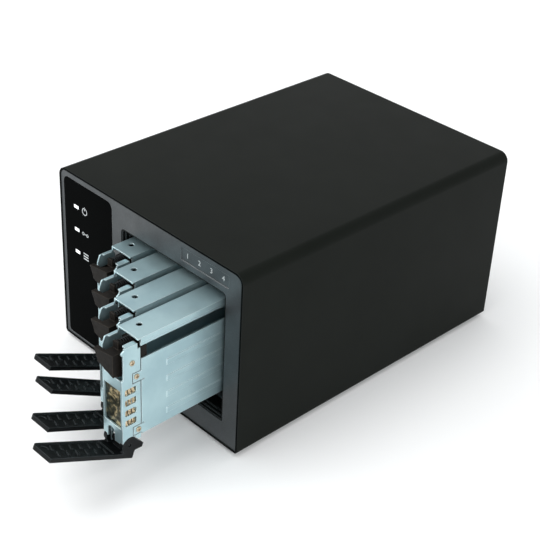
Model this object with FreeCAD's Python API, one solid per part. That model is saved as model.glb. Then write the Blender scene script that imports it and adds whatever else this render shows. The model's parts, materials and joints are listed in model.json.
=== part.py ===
"""Desktop four-bay enclosure for 2.5-inch drives, built as separate pieces.

Everything is modelled in the case frame: X to the right seen from the front,
Y to the back with the front plane of the case at 0, Z up with the underside of
the case at 0.  Each piece is moved to the object's frame when it is written:
the origin there is the centre of the footprint, on the plane of the feet.
Millimetres throughout.
"""
import FreeCAD, Part
import math
import os

# ---------------------------------------------------------------- case
CASE_W = 187.0              # outside width of the sleeve
CASE_H = 138.0              # outside height of the sleeve
CASE_D = 260.0              # depth of the sleeve
CASE_R = 7.0                # outside radius of the long edges at the top
CASE_LOW_R = 2.4            # and at the bottom
SLEEVE_T = 1.5              # sleeve wall
FIT = 0.15                  # clearance of a piece that drops into another
SHEET = 1.0                 # sheet steel of cage, trays, base and rear panel
MOVE_GAP = 0.5              # clearance beside anything that moves

FOOT_H = 3.0
FOOT_R = 7.0
FOOT_INSET = 18.0           # foot centre from the sides of the case
FOOT_PEG_R = 2.2            # peg of a foot, through the sleeve

# ---------------------------------------------------------------- front
BEZEL_T = 3.0               # front wall of the bezel
BEZEL_RIM_D = 12.0          # depth of its rim, along the sleeve
BEZEL_RIM_T = 1.6
BEZEL_SET_BACK = 0.4        # bezel face behind the edge of the sleeve
PANEL_MARGIN = 2.8          # bezel left of, above and below the black panel
PANEL_T = 1.8
PANEL_R = 5.0
PANEL_LOW_R = 3.0
PANEL_LIP = 2.0             # ledge that the panel is glued to
LABEL_W = 45.0
LABEL_H = 9.5
LABEL_DEPTH = 0.6
LABEL_TOP_GAP = 4.0         # label recess below the inside of the sleeve
LIGHT_W = 4.8
LIGHT_H = 2.3
LIGHT_LEN = 7.0
LIGHT_X = 13.5              # light windows from the panel's left edge
LIGHT_TOP = 19.9            # first window below the top of the panel
LIGHT_PITCH = 18.1
LIGHT_COUNT = 3
PCB_T = 1.6
LED_T = 1.2

# ---------------------------------------------------------------- bays
TRAY_COUNT = 4
TRAY_W = 19.0
TRAY_PITCH = 25.0
BAY_RIGHT_MARGIN = 15.1     # bay opening to the right side of the case
BAY_FLOOR_Z = 18.0          # bottom edge of the bay opening
BAY_SIDE_GAP = 5.2          # outer trays to the edges of the opening
RUNNER_H = 21.0             # tray underside above the bay floor
BAY_TOP_GAP = 7.4           # top of the trays to the opening's top edge
BAY_R = 4.0
BAY_LOW_R = 1.2
LINER_T = 1.2
LINER_D = 15.0
LINER_FLANGE = 3.0
LINER_RIDGE = 1.0           # height of the ridges round the liner's inside
LINER_RIDGE_W = 0.9
LINER_RIDGE_DEPTHS = (2.2, 5.4)

DRIVE_W = 69.85             # 2.5-inch drive: its width stands upright here
DRIVE_LEN = 100.45
DRIVE_PLAY = 0.45           # room for the drive between the flanges
TRAY_H = DRIVE_W + 2 * SHEET + DRIVE_PLAY
DRIVE_SET_BACK = 22.0       # front of a drive behind the tray's front
TRAY_LEN = DRIVE_SET_BACK + DRIVE_LEN + 1.55
TRAY_CLOSED_Y = 4.0         # tray front behind the case front when shut
TRAY_PULL = (27.8, 45.5, 64.8, 81.5)    # how far each tray stands out
LEVER_OPEN_DEG = (65.0, 61.0, 65.0, 64.0)
LEVER_SHUT_DEG = 3.8         # a shut lever leans on the release button
LEVER_FULL_DEG = 71.0        # and it stops here when it is swung right out

# ---------------------------------------------------------------- carrier
CARRIER_Y = 12.5            # front edge of the top flange
CARRIER_SIDE_Y = 15.0       # front edge of the side plate
SIDE_FLANGE_H = 6.4
SIDE_STEP_H = 3.1
SIDE_STEP_IN = 0.7
LEFT_LIP_H = 3.0
TRAY_SCREW_R = 1.0
TRAY_SCREW_HEAD_R = 1.95
TRAY_SCREW_HEAD_H = 0.7
TRAY_SCREW_LEN = 2.0
CROSS_W = 0.6               # cross recess of every screw
CROSS_DEEP = 0.4
PLATE_TOP = 57.0            # top edge of the side plate
REAR_POST = 10.0
RIB_COUNT = 4
RIB_FIRST_Z = 8.3
RIB_PITCH = 12.4
RIB_H = 4.6
RIB_OUT = 0.5
RIB_START = 34.5
RIB_END_GAP = 14.0
TAB_LEN = 6.4
UPPER_TAB_Z = 41.7
UPPER_TAB_H = 6.8
LOWER_TAB_Z = 1.6
LOWER_TAB_H = 6.0
TAB_RELIEF = 2.4
TAB_GAP = 0.6
FLANGE_HOLE_R = 2.0
FLANGE_HOLE_X = 7.0
FLANGE_HOLE_Y = 23.2
DRIVE_SCREW_Y = (36.1, 112.7)
DRIVE_SCREW_R = 1.6

# ---------------------------------------------------------------- bracket
BRACKET_D = 14.3
WEB_BOTTOM = -2.6
WEB_TOP = 46.4
WINDOW_LEFT = 1.4
WINDOW_RIGHT = 1.6
WINDOW_Z = 9.6
WINDOW_H = 28.9
GRILLE_COUNT = 4
GRILLE_Y = 2.3
GRILLE_LEN = 8.6
GRILLE_H = 4.8
GRILLE_Z = 10.9
GRILLE_PITCH = 7.8
RIGHT_LIP_Y = 3.5
RIGHT_LIP_LEN = 8.5
RIGHT_LIP_W = 4.0
RIGHT_TOP = 69.6
RIGHT_SHOULDER_Z = 65.2       # small step in the right side's front edge
RIGHT_SET_BACK = 1.2         # its front edge below the step
LEFT_TOP = 69.6
LEFT_SET_BACK = 1.7
LEFT_STEP_Z = 64.2
LEFT_LIP_W = 2.4
LEFT_LIP_LEN = 7.0
SLOT_X = 4.3
SLOT_W = 6.8
SLOT_TOP = 6.6
TONGUE_X = 1.3
TONGUE_W = 8.4
TONGUE_H = 2.6               # tongue above the web, under the release button
TONGUE_T = 0.8
TONGUE_BACK = 1.2            # gap between the web and the tongue
TONGUE_FOOT = 2.0            # tongue below the top of the web
BACKING_MARGIN = 1.5        # strip behind each tab, past the tab's edges
EAR_IN = 3.4                # ears inside the side plates, at the pin

# ---------------------------------------------------------------- lever
PIN_Y = 5.5
PIN_Z = -5.0
PIN_R = 1.25
PIN_FIT = 0.05
PIN_RECESS = 1.2             # pin ends inside the lever's cheeks
STOP_Y = 3.4                 # stop pin across the bracket's ears
STOP_Z = -0.9
STOP_R = 0.8
HUB_R = 5.8
HUB_GAP = 0.7
CHEEK_T = 2.9
BARREL_R = 3.2
LEVER_LEN = 61.8
LEVER_IN = 6.0              # inner face of the lever from the pin
LEVER_T = 3.0
LEVER_TIP_R = 3.0
POCKET = 0.9
POCKET_SIDE = 1.5
HOOK_R = 11.0
HOOK_FROM_DEG = -104.0
HOOK_TO_DEG = -80.0
GRIP_COUNT = 6               # raised grip ribs along the lever, in two rows
GRIP_PITCH = 7.6
GRIP_FIRST = 13.0
GRIP_LEN = 5.4
GRIP_W = 1.5
GRIP_ROWS = (6.0, 13.0)
GRIP_TURN_DEG = -22.0
DIMPLE_R = 2.4
DIMPLE_X = 5.0
DIMPLE_FROM_TIP = 6.0

# ---------------------------------------------------------------- latch
LATCH_Z = 46.7
LATCH_H = 18.3
LATCH_D = 20.0
LATCH_RIGHT_SET_BACK = 3.5
LATCH_FLOOR_T = 0.8
BUTTON_W = 13.9
BUTTON_D = 12.0              # guided block behind the front's plane
BUTTON_FRONT = 3.6           # thumb face in front of the bracket
BUTTON_SLAB = 1.4            # thickness of the thumb face
BUTTON_FLARE = 2.4           # its top left corner, further forward
BUTTON_FLARE_H = 9.5
BUTTON_LOW_LEFT = 7.2        # lower edge of the thumb face above the latch floor, at the left
BUTTON_LOW_RIGHT = 2.4       # and at the right
BUTTON_RECESS_W = 5.4        # open recess in its top, along the bracket's left side
BUTTON_RECESS_H = 6.0
BUTTON_TRAVEL = 2.0
SPRING_R = 2.4
SPRING_WIRE_R = 0.38
SPRING_TURNS = 7
SPRING_X = 8.4               # middle of the spring from the button's left side
SPRING_Y = 4.6
SPRING_LEN = 12.0
POST_T = 1.6

# ---------------------------------------------------------------- shield
SHIELD_T = 0.3
SHIELD_HOLE = 1.7
SHIELD_PITCH_X = 2.9
SHIELD_PITCH_Z = 2.7
FINGER_W = 2.2
FINGER_GAP = 0.8

# ---------------------------------------------------------------- inside
CAGE_FRONT_GAP = 1.0        # cage behind the liner
CAGE_FOOT_W = 8.0
CAGE_VENT_R = 3.5           # air holes in the cage's sides
CAGE_VENT_PITCH = 13.0
CAGE_VENT_ROWS = 5
CAGE_VENT_COLS = 8
CAGE_VENT_FIRST_Y = 14.0
RAIL_GRIP = 2.4             # how far the guide ribs reach past the trays
GUIDE_T = 1.6
GUIDE_FRONT_GAP = 9.0       # guides start behind the front of the cage
SOCKET_W = 5.6
SOCKET_H = 46.0
SOCKET_D = 8.0
SOCKET_X = 9.4              # middle of a socket from the tray's left side
BACKPLANE_GAP = 4.0         # backplane behind a shut tray
BOARD_STANDOFF = 6.0
BOARD_STANDOFF_R = 3.0
BOARD_W = 105.0
SINK_W = 44.0
SINK_D = 44.0
SINK_H = 18.0
SINK_FINS = 9
SINK_FIN_T = 1.6
SINK_BASE = 3.0
CHIP_H = 2.4
CHIP_W = 30.0
PSU_H = 62.0
PSU_D = 118.0
PSU_LEFT_GAP = 4.0
PSU_REAR_GAP = 24.0
PSU_CAGE_GAP = 0.35          # supply to the cage's left foot
PSU_SHOULDER = 4.0           # supply clear of the sleeve's rounded corner
PSU_VENT_ROWS = 5
PSU_VENT_PITCH = 9.0
PSU_VENT_H = 3.0
PSU_VENT_SIDE = 8.0

# ---------------------------------------------------------------- rear
REAR_SET_BACK = 1.5
REAR_FLANGE = 9.0
REAR_SLOT_COLS = 6          # air slots over the power inlet
REAR_SLOT_ROWS = 8
REAR_SLOT_W = 5.5
REAR_SLOT_H = 2.2
REAR_SLOT_PITCH_X = 8.0
REAR_SLOT_PITCH_Z = 5.0
REAR_SLOT_DROP = 54.0        # lowest row below the top of the case
FAN_SIZE = 80.0
FAN_D = 25.0
FAN_BORE_R = 38.0
FAN_HUB_R = 17.0
FAN_BLADES = 7
FAN_TIP_GAP = 1.2
FAN_HOLE_PITCH = 71.5
FAN_HOLE_R = 2.15
FAN_AXLE_R = 1.5
FAN_RIGHT_GAP = 9.0
FAN_TOP_GAP = 8.0
GUARD_WIRE_R = 0.8
GUARD_RINGS = 5
PORT_W = 19.0
PORT_H = 11.0
PORT_D = 36.0
PORT_WALL = 0.8
PORT_PITCH = 24.0
PORT_COUNT = 2
INLET_W = 27.0
INLET_H = 19.5
INLET_D = 18.0
INLET_Z = 34.0
INLET_FLANGE_W = 48.0
INLET_FLANGE_T = 2.0
INLET_SCREW_PITCH = 40.0
INLET_BLADE = (2.0, 4.0)
SWITCH_W = 13.0
SWITCH_H = 19.0
SWITCH_Z = 58.0
SWITCH_TILT_DEG = 8.0
SWITCH_PIVOT_DEPTH = 4.0
SWITCH_FRAME_T = 2.0
SCREW_R = 1.5
SCREW_HEAD_R = 2.8
SCREW_HEAD_H = 1.6

# ---------------------------------------------------------------- derived
INNER_L = -CASE_W / 2 + SLEEVE_T
INNER_R = CASE_W / 2 - SLEEVE_T
INNER_TOP = CASE_H - SLEEVE_T
BAY_W = (TRAY_COUNT - 1) * TRAY_PITCH + TRAY_W + 2 * BAY_SIDE_GAP
BAY_H = RUNNER_H + TRAY_H + BAY_TOP_GAP
BAY_X1 = CASE_W / 2 - BAY_RIGHT_MARGIN
BAY_X0 = BAY_X1 - BAY_W
BAY_Z1 = BAY_FLOOR_Z + BAY_H
TRAY_X0 = BAY_X0 + BAY_SIDE_GAP
TRAY_Z = BAY_FLOOR_Z + RUNNER_H
PANEL_X0 = INNER_L + PANEL_MARGIN + FIT
PANEL_X1 = BAY_X0 - 9.5
PANEL_Z0 = SLEEVE_T + 1.7
PANEL_Z1 = INNER_TOP - PANEL_MARGIN - 1.2
CAGE_Y0 = BEZEL_SET_BACK + LINER_D + CAGE_FRONT_GAP
BACKPLANE_Y = TRAY_CLOSED_Y + TRAY_LEN + BACKPLANE_GAP
BASE_TOP = SLEEVE_T + SHEET
REAR_Y = CASE_D - REAR_SET_BACK - SHEET
BOARD_Z = BASE_TOP + BOARD_STANDOFF
FAN_X = INNER_R - FAN_RIGHT_GAP - FAN_SIZE / 2
FAN_Z = INNER_TOP - FAN_TOP_GAP - FAN_SIZE / 2
PSU_X0 = INNER_L + PSU_LEFT_GAP
PSU_X1 = BAY_X0 + LINER_T + FIT - SHEET - CAGE_FOOT_W - PSU_CAGE_GAP
PSU_Y1 = REAR_Y - PSU_REAR_GAP
INLET_X = (PSU_X0 + PSU_X1) / 2
PORT_X = BAY_X1 - BOARD_W / 2
PORT_Z = BOARD_Z + PCB_T
LIGHT_XS = PANEL_X0 + LIGHT_X
LIGHT_ZS = [PANEL_Z1 - LIGHT_TOP - n * LIGHT_PITCH for n in range(LIGHT_COUNT)]


# ---------------------------------------------------------------- helpers
def vec(x, y, z):
    """Short name for a vector."""
    return FreeCAD.Vector(x, y, z)


def box(x0, x1, y0, y1, z0, z1):
    """Box between two values on each axis."""
    return Part.makeBox(x1 - x0, y1 - y0, z1 - z0, vec(x0, y0, z0))


def rod(start, axis, radius, length):
    """Cylinder from a point along an axis vector."""
    return Part.makeCylinder(radius, length, start, axis)


X_AXIS = vec(1, 0, 0)
Y_AXIS = vec(0, 1, 0)
Z_AXIS = vec(0, 0, 1)


def fuse(shapes):
    """One solid from shapes that touch or overlap."""
    first, *rest = shapes
    if not rest:
        return first
    return first.fuse(rest).removeSplitter()


def cut(shape, tools):
    """Shape with all the tools taken away."""
    return shape.cut(list(tools))


def along(shape, axis):
    """The straight edges of a shape that run along an axis."""
    found = []
    for edge in shape.Edges:
        if not isinstance(edge.Curve, Part.Line):
            continue
        if edge.tangentAt(edge.FirstParameter).cross(axis).Length < 1e-6:
            found.append(edge)
    return found


def rounded(x0, x1, y0, y1, z0, z1, radius, axis=Y_AXIS):
    """Box with its edges along one axis rounded."""
    block = box(x0, x1, y0, y1, z0, z1)
    return block.makeFillet(radius, along(block, axis))


def arched(x0, x1, y0, y1, z0, z1, radius, low_radius):
    """Box along Y with wide rounding at the top and small or no rounding at the bottom."""
    block = box(x0, x1, y0, y1, z0, z1)
    upper = [edge for edge in along(block, Y_AXIS) if edge.BoundBox.ZMin > z1 - 0.01]
    block = block.makeFillet(radius, upper)
    if low_radius <= 0:
        return block
    lower = [edge for edge in along(block, Y_AXIS) if edge.BoundBox.ZMax < z0 + 0.01]
    return block.makeFillet(low_radius, lower)


def prism_x(points, x0, x1):
    """Outline in Y and Z, drawn out from x0 to x1."""
    corners = [vec(x0, y, z) for y, z in points]
    face = Part.Face(Part.makePolygon(corners + corners[:1]))
    return face.extrude(vec(x1 - x0, 0, 0))


def prism_y(points, y0, y1):
    """Outline in X and Z, drawn out from y0 to y1."""
    corners = [vec(x, y0, z) for x, z in points]
    face = Part.Face(Part.makePolygon(corners + corners[:1]))
    return face.extrude(vec(0, y1 - y0, 0))


def group(shapes):
    """Separate solids kept in one file."""
    return Part.makeCompound(list(shapes))


def tray_x(index):
    """Left side of a tray."""
    return TRAY_X0 + index * TRAY_PITCH


# ---------------------------------------------------------------- housing
def foot_places():
    """Centres of the four feet."""
    side = CASE_W / 2 - FOOT_INSET
    return [(sx * side, y) for sx in (-1, 1) for y in (FOOT_INSET, CASE_D - FOOT_INSET)]


def outer_sleeve():
    """Rounded tube, open at the front and the rear."""
    body = arched(-CASE_W / 2, CASE_W / 2, 0, CASE_D, 0, CASE_H, CASE_R, CASE_LOW_R)
    hollow = arched(INNER_L, INNER_R, -1, CASE_D + 1, SLEEVE_T, INNER_TOP,
                    CASE_R - SLEEVE_T, CASE_LOW_R - SLEEVE_T)
    pegs = [rod(vec(x, y, -1), Z_AXIS, FOOT_PEG_R + FIT, SLEEVE_T + 2) for x, y in foot_places()]
    return cut(body, [hollow] + pegs)


def rubber_feet():
    """Four round feet, each with a peg through the sleeve's floor."""
    feet = []
    for x, y in foot_places():
        pad = Part.makeCone(FOOT_R - 1.0, FOOT_R, FOOT_H, vec(x, y, -FOOT_H), Z_AXIS)
        peg = rod(vec(x, y, 0), Z_AXIS, FOOT_PEG_R, SLEEVE_T)
        feet.append(pad.fuse(peg))
    return group(feet)


def front_bezel():
    """Grey front with the bay opening, the panel's window and the label recess."""
    y0 = BEZEL_SET_BACK
    x0, x1 = INNER_L + FIT, INNER_R - FIT
    z0, z1 = SLEEVE_T + FIT, INNER_TOP - FIT
    top_r, low_r = CASE_R - SLEEVE_T - FIT, CASE_LOW_R - SLEEVE_T - FIT
    block = arched(x0, x1, y0, y0 + BEZEL_RIM_D, z0, z1, top_r, low_r)
    rim = BEZEL_RIM_T
    hollow = arched(x0 + rim, x1 - rim, y0 + BEZEL_T, y0 + BEZEL_RIM_D + 1,
                    z0 + rim, z1 - rim, top_r - rim, low_r - rim)
    opening = arched(BAY_X0, BAY_X1, y0 - 1, y0 + BEZEL_T + 1, BAY_FLOOR_Z, BAY_Z1,
                     BAY_R, BAY_LOW_R)
    ledge = arched(PANEL_X0, PANEL_X1, y0 - 1, y0 + PANEL_T, PANEL_Z0, PANEL_Z1,
                   PANEL_R, PANEL_LOW_R)
    window = arched(PANEL_X0 + PANEL_LIP, PANEL_X1 - PANEL_LIP, y0, y0 + BEZEL_T + 1,
                    PANEL_Z0 + PANEL_LIP, PANEL_Z1 - PANEL_LIP,
                    PANEL_R - PANEL_LIP, PANEL_LOW_R - PANEL_LIP)
    label_z1 = INNER_TOP - LABEL_TOP_GAP
    label = rounded(BAY_X1 + 2.0 - LABEL_W, BAY_X1 + 2.0, y0 - 1, y0 + LABEL_DEPTH,
                    label_z1 - LABEL_H, label_z1, 1.0)
    return cut(block, [hollow, opening, ledge, window, label])


def indicator_panel():
    """Glossy black panel with three small windows."""
    y0 = BEZEL_SET_BACK
    panel = arched(PANEL_X0 + FIT, PANEL_X1 - FIT, y0, y0 + PANEL_T,
                   PANEL_Z0 + FIT, PANEL_Z1 - FIT, PANEL_R - FIT, PANEL_LOW_R - FIT)
    holes = [box(LIGHT_XS - LIGHT_W / 2, LIGHT_XS + LIGHT_W / 2, y0 - 1, y0 + PANEL_T + 1,
                 z - LIGHT_H / 2, z + LIGHT_H / 2) for z in LIGHT_ZS]
    return cut(panel, holes)


def light_pipes():
    """Three clear bars from the status lights to the panel."""
    y0 = BEZEL_SET_BACK
    bars = []
    for z in LIGHT_ZS:
        bar = box(LIGHT_XS - LIGHT_W / 2, LIGHT_XS + LIGHT_W / 2, y0, y0 + LIGHT_LEN,
                  z - LIGHT_H / 2, z + LIGHT_H / 2)
        collar = box(LIGHT_XS - LIGHT_W / 2 - 0.8, LIGHT_XS + LIGHT_W / 2 + 0.8,
                     y0 + PANEL_T, y0 + PANEL_T + 1.0, z - LIGHT_H / 2 - 0.8, z + LIGHT_H / 2 + 0.8)
        bars.append(bar.fuse(collar))
    return group(bars)


def status_board():
    """Small board behind the panel, with one light per pipe and two stand-offs."""
    y0 = BEZEL_SET_BACK + LIGHT_LEN + LED_T
    z0 = LIGHT_ZS[-1] - 12
    z1 = LIGHT_ZS[0] + 12
    board = box(LIGHT_XS - 12, LIGHT_XS + 12, y0, y0 + PCB_T, z0, z1)
    pieces = [board]
    for z in LIGHT_ZS:
        pieces.append(box(LIGHT_XS - 1.6, LIGHT_XS + 1.6, y0 - LED_T, y0, z - 0.9, z + 0.9))
    for z in (z0 + 3, z1 - 3):
        start = BEZEL_SET_BACK + PANEL_T
        pieces.append(rod(vec(LIGHT_XS, start, z), Y_AXIS, 1.6, y0 - start))
    return fuse(pieces)


def bay_liner():
    """Black frame inside the bay opening, with a flange behind the bezel."""
    y0 = BEZEL_SET_BACK + 0.4
    x0, x1 = BAY_X0 + FIT, BAY_X1 - FIT
    z0, z1 = BAY_FLOOR_Z + FIT, BAY_Z1 - FIT
    top_r, low_r = BAY_R - FIT, BAY_LOW_R - FIT
    tube = arched(x0, x1, y0, y0 + LINER_D, z0, z1, top_r, low_r)
    back = BEZEL_SET_BACK + BEZEL_T
    wide = LINER_FLANGE
    flange = rounded(x0 - wide, x1 + wide, back, back + 1.2, z0 - wide, z1 + wide, BAY_R)
    body = tube.fuse(flange)
    t = LINER_T
    hollow = arched(x0 + t, x1 - t, y0 - 1, y0 + LINER_D + 1, z0 + t, z1 - t,
                    top_r - t, low_r - t)
    ridges = []
    for depth in LINER_RIDGE_DEPTHS:
        front, back = y0 + depth, y0 + depth + LINER_RIDGE_W
        inner = t + LINER_RIDGE
        ring = arched(x0 + t / 2, x1 - t / 2, front, back, z0 + t / 2, z1 - t / 2,
                      top_r - t / 2, low_r - t / 2)
        gap = arched(x0 + inner, x1 - inner, y0 - 1, back + 1, z0 + inner, z1 - inner,
                     top_r - inner, low_r - inner)
        ridges.append(ring.cut(gap))
    return fuse([cut(body, [hollow])] + ridges)


# ---------------------------------------------------------------- cage
def cage_inside():
    """Inner limits of the cage: x0, x1, z0, z1."""
    t = LINER_T + FIT
    return BAY_X0 + t, BAY_X1 - t, BAY_FLOOR_Z + t, BAY_Z1 - t


def drive_cage():
    """Sheet-steel box round the bays, standing on its bent feet."""
    x0, x1, z0, z1 = cage_inside()
    y0, y1 = CAGE_Y0, BACKPLANE_Y
    outer = box(x0 - SHEET, x1 + SHEET, y0, y1, z0 - SHEET, z1 + SHEET)
    hollow = box(x0, x1, y0 - 1, y1 + 1, z0, z1)
    pieces = [cut(outer, [hollow])]
    for side, out in ((x0 - SHEET, -1), (x1, 1)):
        pieces.append(box(side, side + SHEET, y0, y1, BASE_TOP, z0))
        outer_edge = side if out < 0 else side + SHEET
        reach = outer_edge + out * CAGE_FOOT_W
        low, high = sorted((outer_edge, reach))
        pieces.append(box(low, high, y0, y1, BASE_TOP, BASE_TOP + SHEET))
    vents = []
    mid = (z0 + z1) / 2
    for row in range(CAGE_VENT_ROWS):
        for col in range(CAGE_VENT_COLS):
            y = y0 + CAGE_VENT_FIRST_Y + col * CAGE_VENT_PITCH
            z = mid + (row - (CAGE_VENT_ROWS - 1) / 2) * CAGE_VENT_PITCH
            vents.append(rod(vec(x0 - SHEET - 1, y, z), X_AXIS, CAGE_VENT_R, SHEET + 2))
    return cut(fuse(pieces), vents)


def guide_ribs(z0, z1):
    """Ribs between and beside the trays, which keep them apart."""
    x_left, x_right, *_ = cage_inside()
    y0, y1 = CAGE_Y0 + GUIDE_FRONT_GAP, BACKPLANE_Y
    ribs = []
    for n in range(TRAY_COUNT + 1):
        left = x_left if n == 0 else tray_x(n - 1) + TRAY_W + MOVE_GAP
        right = x_right if n == TRAY_COUNT else tray_x(n) - MOVE_GAP
        ribs.append(box(left, right, y0, y1, z0, z1))
    return ribs


def upper_guide():
    """Plastic guide under the cage's roof."""
    x0, x1, _, z1 = cage_inside()
    y0, y1 = CAGE_Y0 + GUIDE_FRONT_GAP, BACKPLANE_Y
    roof = box(x0, x1, y0, y1, z1 - GUIDE_T, z1)
    tray_top = TRAY_Z + TRAY_H
    return fuse([roof] + guide_ribs(tray_top - RAIL_GRIP, z1 - GUIDE_T))


def lower_guide():
    """Plastic guide that the trays slide on, on legs to the cage's floor."""
    x0, x1, z0, _ = cage_inside()
    y0, y1 = CAGE_Y0 + GUIDE_FRONT_GAP, BACKPLANE_Y
    seat = TRAY_Z - 0.3
    deck = box(x0, x1, y0, y1, seat - GUIDE_T, seat)
    legs = []
    for n in range(TRAY_COUNT + 1):
        left = x0 if n == 0 else tray_x(n - 1) + TRAY_W + MOVE_GAP
        right = x1 if n == TRAY_COUNT else tray_x(n) - MOVE_GAP
        middle = (left + right) / 2
        legs.append(box(middle - GUIDE_T / 2, middle + GUIDE_T / 2, y0, y1, z0, seat - GUIDE_T))
    return fuse([deck] + legs + guide_ribs(seat, TRAY_Z + RAIL_GRIP))


def backplane():
    """Upright board that closes the cage, with slots for air between the bays."""
    x0, x1, z0, z1 = cage_inside()
    y0, y1 = BACKPLANE_Y, BACKPLANE_Y + PCB_T
    board = box(x0 - SHEET, x1 + SHEET, y0, y1, BOARD_Z + PCB_T, z1 + SHEET)
    slots = []
    for n in range(TRAY_COUNT):
        x = tray_x(n) + TRAY_W + 1.0
        if x + 5 < x1:
            slots.append(box(x, x + 4, y0 - 1, y1 + 1, TRAY_Z + 14, TRAY_Z + 60))
    return cut(board, slots)


def drive_sockets():
    """Four drive sockets on the backplane, each with its tongue."""
    sockets = []
    y0 = BACKPLANE_Y - SOCKET_D
    z0 = TRAY_Z + (TRAY_H - SOCKET_H) / 2
    for n in range(TRAY_COUNT):
        x = tray_x(n) + SOCKET_X
        shell = box(x - SOCKET_W / 2, x + SOCKET_W / 2, y0, BACKPLANE_Y, z0, z0 + SOCKET_H)
        mouth = box(x - SOCKET_W / 2 + 0.9, x + SOCKET_W / 2 - 0.9, y0 - 1, BACKPLANE_Y - 2,
                    z0 + 1.5, z0 + SOCKET_H - 1.5)
        tongue = box(x - 0.6, x + 0.6, y0 + 0.8, BACKPLANE_Y - 2, z0 + 3, z0 + SOCKET_H - 3)
        sockets.append(cut(shell, [mouth]).fuse(tongue))
    return group(sockets)


# ---------------------------------------------------------------- inside
def chassis_base():
    """Sheet-steel floor with a bent flange at the front and at the rear."""
    x0, x1 = INNER_L + CASE_R, INNER_R - CASE_R
    y0 = BEZEL_SET_BACK + BEZEL_RIM_D
    floor = box(x0, x1, y0, REAR_Y, SLEEVE_T, BASE_TOP)
    front = box(x0, x1, y0, y0 + SHEET, SLEEVE_T, SLEEVE_T + 9)
    rear = box(x0, x1, REAR_Y - SHEET, REAR_Y, SLEEVE_T, SLEEVE_T + 4.5)
    floor = fuse([floor, front, rear])
    return cut(floor, [rod(vec(x, y, 0), Z_AXIS, FOOT_PEG_R + 1, BASE_TOP + 1)
                       for x, y in foot_places()])


def switch_board():
    """Main board on four stand-offs, with its chip and capacitors."""
    x1 = BAY_X1
    x0 = x1 - BOARD_W
    y1 = REAR_Y - 2.0
    y0 = BACKPLANE_Y
    board = box(x0, x1, y0, y1, BOARD_Z, BOARD_Z + PCB_T)
    pieces = [board]
    for x in (x0 + 5, x1 - 5):
        for y in (y0 + 6, y1 - 6):
            pieces.append(rod(vec(x, y, BASE_TOP), Z_AXIS, BOARD_STANDOFF_R, BOARD_STANDOFF))
    cx, cy = sink_centre()
    top = BOARD_Z + PCB_T
    pieces.append(box(cx - CHIP_W / 2, cx + CHIP_W / 2, cy - CHIP_W / 2, cy + CHIP_W / 2,
                      top, top + CHIP_H))
    for n in range(5):
        pieces.append(rod(vec(x0 + 10 + n * 9, y0 + 12, top), Z_AXIS, 3.0, 8.0))
    return fuse(pieces)


def sink_centre():
    """Middle of the switch chip and its heat sink."""
    return BAY_X1 - BOARD_W / 2, (BACKPLANE_Y + REAR_Y - PORT_D) / 2


def heat_sink():
    """Finned block on the switch chip."""
    cx, cy = sink_centre()
    z0 = BOARD_Z + PCB_T + CHIP_H
    x0, x1 = cx - SINK_W / 2, cx + SINK_W / 2
    y0, y1 = cy - SINK_D / 2, cy + SINK_D / 2
    pieces = [box(x0, x1, y0, y1, z0, z0 + SINK_BASE)]
    step = (SINK_W - SINK_FIN_T) / (SINK_FINS - 1)
    for n in range(SINK_FINS):
        x = x0 + n * step
        pieces.append(box(x, x + SINK_FIN_T, y0, y1, z0 + SINK_BASE, z0 + SINK_H))
    return fuse(pieces)


def power_supply():
    """Vented supply on the base, beside the cage, with its board and transformer."""
    x0, x1 = PSU_X0 + PSU_SHOULDER, PSU_X1
    y0, y1 = PSU_Y1 - PSU_D, PSU_Y1
    z0, z1 = BASE_TOP, BASE_TOP + PSU_H
    left, right = x0 + PSU_VENT_SIDE, x1 - PSU_VENT_SIDE
    case = box(x0, x1, y0, y1, z0, z1)
    tools = [box(x0 + SHEET, x1 - SHEET, y0 + SHEET, y1 - SHEET, z0 + SHEET, z1 - SHEET)]
    for row in range(PSU_VENT_ROWS):
        z = z0 + PSU_H / 2 + (row - (PSU_VENT_ROWS - 1) / 2) * PSU_VENT_PITCH
        tools.append(box(left, right, y1 - 2 * SHEET, y1 + 1, z, z + PSU_VENT_H))
        tools.append(box(left, right, y0 - 1, y0 + 2 * SHEET, z, z + PSU_VENT_H))
    inside_z = z0 + SHEET
    board = box(x0 + 4, x1 - 4, y0 + 5, y1 - 5, inside_z, inside_z + 4)
    core = box(x0 + 12, x1 - 12, y0 + 30, y0 + 66, inside_z + 4, inside_z + 38)
    coil = box(left, right, y0 + 38, y0 + 58, inside_z + 6, inside_z + 34)
    return fuse([cut(case, tools), board, core, coil])


# ---------------------------------------------------------------- rear
def rear_screw_places():
    """Centres of the screws round the rear panel."""
    zs = (14.0, CASE_H - 14.0)
    xs = (INNER_L + 5.0, INNER_R - 5.0)
    return [(x, z) for x in xs for z in zs]


def fan_hole_places():
    """Centres of the fan's four screws."""
    half = FAN_HOLE_PITCH / 2
    return [(FAN_X + sx * half, FAN_Z + sz * half) for sx in (-1, 1) for sz in (-1, 1)]


def port_places():
    """Middles of the host ports."""
    first = PORT_X - (PORT_COUNT - 1) * PORT_PITCH / 2
    return [first + n * PORT_PITCH for n in range(PORT_COUNT)]


def inlet_screw_places():
    """Screws of the power inlet's flange."""
    half = INLET_SCREW_PITCH / 2
    return [(INLET_X - half, INLET_Z), (INLET_X + half, INLET_Z)]


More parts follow.
